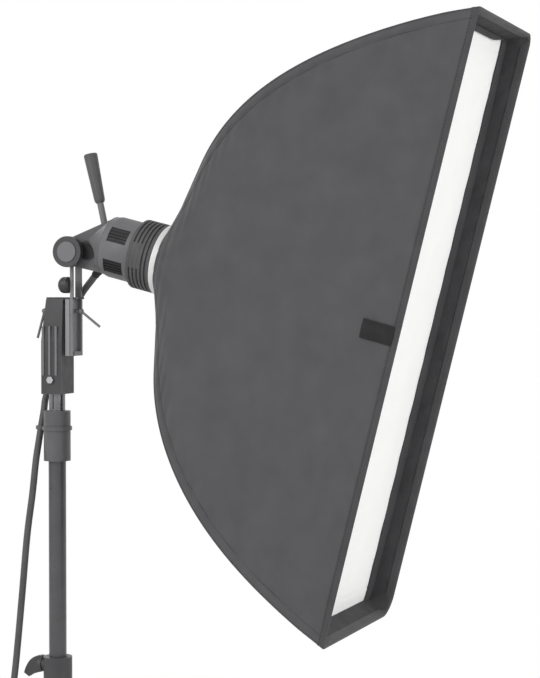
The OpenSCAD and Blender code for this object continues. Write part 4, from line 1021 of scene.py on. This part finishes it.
    def sleeve(self, edge: Array, run: Array, phase: float) -> Array:
        """Raises the cloth over the rod beside a seam, sinks it at the stitches and puckers it behind them.

        Args:
            edge: Distance from the seam.
            run: Length along the seam.
            phase: Shift of the puckers.

        Returns:
            Distance outward.
        """
        ridge = 0.0016 * np.sin(np.pi * np.clip(edge / self.sleeve_w, 0, 1)) ** 2
        groove = -0.0009 * np.exp(-(((edge - self.sleeve_w) / 0.0013) ** 2))
        wave = np.sin(2 * np.pi * run / 0.033 + 2.0 * np.sin(2 * np.pi * run / 0.19 + phase) + phase)
        pucker = 0.0009 * np.exp(-(((edge - 0.021) / 0.014) ** 2)) * wave
        return ridge + groove + pucker

    def side_lift(self, s: Array, f: Array, phase: float) -> Array:
        """Gives a side panel's sleeves, slow waves, and the folds that gather at the ring."""
        u, h = self.seam(s)
        edge = (1 - np.abs(f)) * h * self.slope(s)[0]
        v = f * h
        slow = 0.0016 * np.sin(2 * np.pi * (u / 0.21 + v / 0.8) + phase)
        slow = slow * np.sin(2 * np.pi * v / 0.47 + 1.3 * phase)
        slow = slow + 0.0009 * np.sin(2 * np.pi * (u / 0.12 - v / 0.3) + 2.1 * phase)
        gather = 0.0024 * np.exp(-(u - self.rear_u) / 0.06) * np.cos(2 * np.pi * f * 3.3 + phase)
        gather = gather * smooth(u, self.rear_u, self.rear_u + 0.012)
        inside = smooth(edge, 0.012, 0.05)
        lift = self.sleeve(edge, self.along(s), phase) + (slow + gather) * inside
        return lift * (1 - smooth(u, 0.398, 0.424))

    def end_lift(self, s: Array, f: Array, phase: float) -> Array:
        """Gives an end panel's sleeves and the cross folds between its rods."""
        u, _ = self.seam(s)
        run = self.along(s)
        edge = (1 - np.abs(f)) * self.seam_w(s)
        fold = 0.0012 * np.sin(2 * np.pi * run / 0.083 + 1.7 * f + phase) * (1 - f**2)
        lift = self.sleeve(edge, run, phase) * smooth(u, 0.06, 0.12) + fold
        return lift * (1 - smooth(u, 0.398, 0.424))

    def share(self) -> Array:
        """Gives shares from -1 to 1 that crowd towards both seams."""
        return np.sin(np.linspace(-1.0, 1.0, self.cols) * np.pi / 2)[None, :]

    def sew(self, name: str, shape: Surface, finishes: Sequence[Finish],
            node: str = "") -> Piece:
        """Makes a piece that rides on the softbox.

        Args:
            name: The piece's name.
            shape: Its surface.
            finishes: Its finishes.
            node: The CAD node that it replaces, if any.

        Returns:
            The new piece.
        """
        piece = make_piece(name, shape, finishes)
        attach(piece, "softbox")
        if node:
            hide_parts(node)
        return piece

    def panel(self, name: str, outer: Array, inner: Array, across: Array) -> None:
        along = self.along(np.linspace(0.0, 1.0, self.rows))
        shape = cloth(outer, inner, along, across)
        finishes = [Look.SHELL, Look.SILVER]
        piece = self.sew("shell_" + name, shape, finishes, "panel_" + name)

    def panels(self) -> None:
        """Makes the four panels."""
        s = np.linspace(0.0, 1.0, self.rows)[:, None]
        f = self.share()
        for side, phase in SIDE_PHASE.items():
            lift = self.side_lift(s, f, phase)
            outer = self.side_points(side, s, f, lift)
            inner = self.side_points(side, s, f, lift - self.cloth_t)
            self.panel(side.name.lower(), outer, inner, f[0] * self.front_h)
        for end, phase in END_PHASE.items():
            lift = self.end_lift(s, f, phase)
            outer = self.end_points(end, s, f, lift, 0.0)
            inner = self.end_points(end, s, f, lift, self.cloth_t)
            self.panel(end.name.lower(), outer, inner, f[0] * self.front_w)

    def seams(self) -> None:
        """Makes the piping on the four corner seams, and the stitches that close the rod sleeves."""
        s = np.linspace(0.0, 1.0, 161)
        piping = []
        rows = []
        for side, phase in SIDE_PHASE.items():
            for f in (1.0, -1.0):
                path = self.side_points(side, s, np.full_like(s, f), 0.0)
                piping.append(tube(path, 0.0014, 8, (0.0, 1.0, 0.0)))
                late = s[s > 0.07]
                _, h = self.seam(late)
                share = f * (1 - self.sleeve_w / (h * self.slope(late)[0]))
                lift = self.side_lift(late, share, phase) + 0.0003
                out = np.broadcast_to(self.turn(np.array([0.0, side.value, 0.0])), (len(late), 3))
                line = self.side_points(side, late, share, lift)
                rows.append(stitches(line, out, *SEAM_STITCH))
        for end, phase in END_PHASE.items():
            for f in (1.0, -1.0):
                late = s[s > 0.2]
                share = f * (1 - self.sleeve_w / self.seam_w(late))
                lift = self.end_lift(late, share, phase) + 0.0003
                line = self.end_points(end, late, share, lift, 0.0)
                way_u, way_h = self.slope(late)
                local = np.stack([-way_h, 0 * way_u, end.value * way_u], axis=1)
                rows.append(stitches(line, self.turn(local), *SEAM_STITCH))
        self.sew("seam_piping", piping[0].joined(*piping[1:]), [Look.BINDING])
        self.sew("sleeve_stitches", rows[0].joined(*rows[1:]), [Look.THREAD])

    def clear_w(self, u: Array | float) -> Array:
        """Gives the half width inside the panels."""
        return self.middle_w(self.seam_at(u)) - self.cloth_t - self.gap

    def clear_h(self, u: Array | float) -> Array:
        """Gives the half height inside the panels."""
        s = self.seam_at(u)
        return self.seam(s)[1] + np.minimum(self.bulge(s), 0.0) - 1.2 * self.cloth_t - self.gap

    def loop(self, u: float, half_w: float, half_h: float, count: int) -> Array:
        """Gives an even loop across the light: a rectangle with the softbox's four corner radii.

        Args:
            u: Distance from the ring.
            half_w: Half width.
            half_h: Half height.
            count: Number of points.

        Returns:
            Points in the softbox's own axes, from the near bottom corner upward.
        """
        turn = np.linspace(0.0, np.pi / 2, 13)
        plans = ((Side.NEAR, End.TOP, np.pi), (Side.FAR, End.TOP, np.pi / 2),
                 (Side.FAR, End.BOTTOM, 0.0), (Side.NEAR, End.BOTTOM, -np.pi / 2))
        arcs = []
        for side, end, start in plans:
            r = float(self.corner(side, end, u))
            arcs.append(np.stack([side.value * (half_w - r) + r * np.cos(start - turn),
                                  end.value * (half_h - r) + r * np.sin(start - turn)], axis=1))
        flat = np.vstack(arcs)
        return even(np.column_stack([np.full(len(flat), u), flat]), count)

    def lip(self) -> None:
        """Makes the lip's dark lining, which creases from front to back."""
        count = 900
        rear = self.front_u - self.lip_depth + self.cloth_t + self.gap
        depth = np.linspace(rear, self.front_u - 0.001, 15)
        loops = np.stack([self.loop(u, self.clear_w(u), self.clear_h(u), count) for u in depth])
        way = np.stack([headings(row, True) for row in loops])
        inward = np.cross(way, np.array([1.0, 0.0, 0.0]))
        run = np.linspace(0.0, 1.0, count, endpoint=False) * self.lip_run
        slant = (depth - depth[0])[:, None]
        crease = np.sin(2 * np.pi * (run / 0.052 + slant / 0.11) + 2.3 * np.sin(2 * np.pi * run / 0.31))
        crease = crease + 0.6 * np.sin(2 * np.pi * (run / 0.121 - slant / 0.07) + 1.1)
        fold = 0.0011 * np.maximum(crease, 0.0) * np.sin(np.pi * np.clip(slant / 0.0245, 0, 1)) ** 0.6
        outer = self.place(loops)
        inner = self.place(loops + inward * (0.0010 + fold)[..., None])
        shape = cloth(outer, inner, depth, np.linspace(0.0, self.lip_run, count + 1), True)
        self.hem(count, self.sew("lip_lining", shape, [Look.LINING] * 2, "front_lip"))

    def hem(self, count: int, lining: Piece) -> None:
        """Args:
            count: Points round the front.
            lining: The lip's lining, which the binding is sewn to. Not used.
        """
        path = self.loop(self.front_u, self.front_w, self.front_h, count)
        out = np.cross(headings(path, True), np.array([-1.0, 0.0, 0.0]))
        rise = 0.232 * out[:, 1] ** 2 + 0.373 * out[:, 2] ** 2
        outside = np.array([[0.8, 11.0], [0.9, 5.0], [0.7, 0.0], [0.1, -1.0], [-1.2, -1.4], [-2.6, -1.0],
                            [-3.4, 0.0], [-3.6, 5.0], [-3.4, 11.0]]) / 1000.0
        inside = np.array([[-2.9, 11.0], [-3.0, 5.0], [-2.8, 0.5], [-1.3, -0.6], [0.0, -0.2], [0.2, 5.0],
                           [0.2, 11.0]]) / 1000.0
        outline = np.broadcast_to(np.vstack([outside, inside]), (count, 16, 2)).copy()
        outline[..., 0] -= rise[:, None] * outline[..., 1]
        back = np.broadcast_to([-1.0, 0.0, 0.0], path.shape)
        shape = carry(self.place(path), self.turn(out), self.turn(back), outline, True)
        band = self.sew("front_hem", shape, [Look.BINDING])
        line = path + out * (0.0013 - 0.0085 * rise)[:, None] + back * 0.0085
        line = np.vstack([line, line[:1]])
        rows = stitches(self.place(line), self.turn(np.vstack([out, out[:1]])), *SEAM_STITCH)
        thread = self.sew("hem_stitches", rows, [Look.THREAD])

    def front(self) -> None:
        """Makes the white diffuser: flat, drawn a little forward in its middle, with a sewn border."""
        u = self.front_u - self.lip_depth
        half_w, half_h, r = float(self.clear_w(u)), float(self.clear_h(u)), 0.006
        v = np.sin(np.linspace(-1.0, 1.0, 141) * np.pi / 2)[:, None] * half_h
        high = np.clip(np.abs(v) - (half_h - r), 0.0, r)
        reach = half_w - r + np.sqrt(np.maximum(r**2 - high**2, 0.0))
        f = self.share()[:, ::2]
        w = f * reach
        border = np.minimum(half_h - np.abs(v), half_w - np.abs(w))
        fore = 0.004 * (1 - f**2) * (1 - (v / half_h) ** 6)
        fore = fore - 0.0005 * np.exp(-(((border - 0.022) / 0.0018) ** 2))
        ripple = 0.0006 * np.sin(2 * np.pi * v / 0.061 + 2.0 * f) * np.exp(-border / 0.03)
        front = grid(u + self.cloth_t + np.maximum(fore + ripple, -0.0002), w, v)
        rear = front - [self.cloth_t, 0.0, 0.0]
        shape = cloth(self.place(front), self.place(rear), v[:, 0], f[0] * half_w)
        piece = self.sew("white_front", shape, [Look.WHITE] * 2, "diffuser")
        bands = self.borders(u + 2 * self.cloth_t, v, reach)

    def borders(self, u: float, v: Array, reach: Array) -> Piece:
        """Makes the dark bands sewn down the diffuser's long edges and across its top.

        Args:
            u: Distance of their front from the ring.
            v: Heights of the rows.
            reach: Half width of the diffuser at each row.

        Returns:
            The three bands as one piece.
        """
        g = np.linspace(0.0, 1.0, 15)[None, :]
        bands = []
        for side, phase in ((Side.NEAR, 0.4), (Side.FAR, 2.0)):
            w = reach - self.border_w * g * (1.0 + 0.012 * np.sin(2 * np.pi * v / 0.17 + phase))
            bend = 3.0 * np.sin(2 * np.pi * v / 0.23 + phase) + 2.0 * g
            wave = np.maximum(0.0010 * np.sin(2 * np.pi * v / 0.045 + bend), 0.0) * np.sin(np.pi * g)
            rise = 0.0017 + 0.003 * (1 - g) * (1 - (v / v[-1]) ** 6) + wave
            outer = grid(u + rise, side.value * w, v)
            inner = outer - [self.cloth_t, 0.0, 0.0]
            bands.append(cloth(self.place(outer), self.place(inner), v[:, 0], g[0] * self.border_w))
        w = np.linspace(-1.0, 1.0, 61)[:, None] * reach[-1]
        wide = self.border_top * (1.0 - 0.75 * smooth(w, 0.06, 0.135))
        outer = grid(u + 0.003, w, v[-1] - g * wide)
        inner = outer - [self.cloth_t, 0.0, 0.0]
        bands.append(cloth(self.place(outer), self.place(inner), w[:, 0], g[0] * self.border_top))
        return self.sew("front_borders", bands[0].joined(*bands[1:]), [Look.LINING] * 2)

    def rod_points(self, s: Array, side: Side, end: End) -> Array:
        """Gives a spring rod's line, inside the corner seam."""
        u, h = self.seam(s)
        way_u, way_h = self.slope(s)
        w = self.seam_w(s) - self.rod_inset
        local = [u + self.rod_inset * way_h, side.value * w, end.value * (h - self.rod_inset * way_u)]
        return np.stack(local, axis=-1)

    def inside(self) -> None:
        """Makes the spring rods, and the inner baffle with its straps."""
        stop = float(self.seam_at(self.front_u - self.lip_depth - 0.006))
        s = np.linspace(0.01, stop, 90)
        for side in Side:
            for end in End:
                name = f"{side.name}_{end.name}".lower()
                shape = tube(self.place(self.rod_points(s, side, end)), self.rod_r, 12, (0.0, 1.0, 0.0))
                self.sew("spring_" + name, shape, [Look.BRIGHT], "rod_" + name)
        at = self.seam_at(self.baffle_u)
        hold = self.rod_points(at, Side.FAR, End.TOP)
        half = self.baffle_share * hold[1:]
        v, w = np.linspace(-1, 1, 61)[:, None], np.linspace(-1, 1, 31)[None, :]
        drop = 0.004 * np.cos(np.pi * v / 2) * np.cos(np.pi * w / 2)
        front = grid(self.baffle_u + self.cloth_t + drop, w * half[0], v * half[1])
        rear = front - [self.cloth_t, 0.0, 0.0]
        shape = cloth(self.place(front), self.place(rear), v[:, 0] * half[1], w[0] * half[0])
        straps = []
        outline = np.array([[-0.006, -0.0005], [0.006, -0.0005], [0.006, 0.0005], [-0.006, 0.0005]])
        for side in Side:
            for end in End:
                sign = np.array([side.value, end.value])
                ends = np.linspace(half * 0.985, hold[1:] - unit(hold[1:]) * 0.005, 12) * sign
                path = np.column_stack([np.full(12, self.baffle_u + self.cloth_t * 0.5), ends])
                flat = np.cross(headings(path), [1.0, 0.0, 0.0])
                lift = np.broadcast_to([1.0, 0.0, 0.0], path.shape)
                straps.append(carry(self.place(path), self.turn(flat), self.turn(lift), outline))
        piece = self.sew("white_baffle", shape, [Look.WHITE] * 2, "inner_baffle")
        strap = self.sew("baffle_straps", straps[0].joined(*straps[1:]), [Look.WHITE])

    def tab(self) -> None:
        """Makes the pull tab, sewn to the near panel along its front end and a little raised behind."""
        u0 = self.front_u - self.tab_back - self.tab_l
        u, v = np.linspace(0, 1, 41)[:, None], np.linspace(-1, 1, 25)[None, :]
        at = u0 + u * self.tab_l
        w = self.middle_w(self.seam_at(at)) + 0.0006 + 0.0016 * (1 - u) ** 2 + 0.0004 * np.cos(np.pi * v)
        edge = np.minimum(np.minimum(u, 1 - u) * self.tab_l, (1 - np.abs(v)) * self.tab_w / 2)
        hemmed = 0.0004 * (1 - smooth(edge, 0.003, 0.0045))
        height = self.tab_v + v * self.tab_w / 2 + 0.0 * u
        outer = grid(at, -(w + self.cloth_t + hemmed), height)
        inner = grid(at, -w, height)
        shape = cloth(self.place(outer), self.place(inner), at[:, 0], height[0])
        piece = self.sew("finger_tab", shape, [Look.TAB] * 2, "pull_tab")
        box = np.array([[34, 2], [34, 22], [6, 22], [6, 2], [34, 2]])
        line = self.place(outer[box[:, 0], box[:, 1]])
        out = np.broadcast_to([0.0, -1.0, 0.0], line.shape)
        rows = stitches(line, out, *TAB_STITCH)
        thread = self.sew("tab_stitches", rows, [Look.THREAD])

    def build(self) -> None:
        """Makes the whole softbox."""
        self.panels()
        self.seams()
        self.lip()
        self.front()
        self.inside()
        self.tab()


@dataclass
class Hardware:
    """The rigid pieces: which finish each CAD node wears."""

    wear: dict[str, tuple[str, ...]] = field(default_factory=lambda: {
        "STAND": ("base_column", "leg_a", "leg_b", "leg_c", "riser_tube"),
        "CAST": ("lock_collar", "wing_screw"),
        "BLOCK": ("stand_block",),
        "FORK": ("fork",),
        "COLLAR": ("riser_collar", "cable_clip"),
        "NECK": ("neck",),
        "PLATE": ("top_plate",),
        "LEVER": ("front_lever", "rear_lever", "handle_rod"),
        "BRIGHT": ("spigot", "block_bolt", "pivot_bolt", "ring_screws"),
        "DISC": ("tilt_knob",),
        "KNOB": ("drag_knob",),
        "HANDLE": ("handle_grip",),
        "GRIP": ("grip_collar",),
        "RUBBER": ("foot_a", "foot_b", "foot_c", "cable_gland"),
        "HEAD": ("barrel",),
        "CAP": ("rear_cap",),
        "VENT": ("vent_grilles",),
        "CERAMIC": ("lamp_base",),
        "BULB": ("flash_tube", "modelling_lamp"),
        "GLASS": ("glass_dome",),
        "RING": ("clamp_ring",),
        "RING_DARK": ("speed_ring",),
        "CLIP": ("block_clip", "plug", "corner_pockets"),
        "TAB": ("hook_tape",),
    })

    def dress(self, nodes: dict[str, Piece]) -> None:
        """Gives every CAD node that shows its finish.

        Args:
            nodes: The CAD nodes by name.
        """
        for finish, names in self.wear.items():
            material = getattr(Look, finish).material()
            for name in names:
                for slot in nodes[name].material_slots:
                    slot.material = material
                LOG.info("node %s wears %s", name, material.name)


def main() -> None:
    """Builds the studio, the cable, the softbox and the finishes of the rigid pieces."""
    logging.basicConfig(level=logging.INFO, format="%(name)s: %(message)s")
    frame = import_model()
    Studio().build()
    Cable().build(frame["nodes"])
    Softbox().build()
    Hardware().dress(frame["nodes"])


if __name__ == "__main__":
    main()
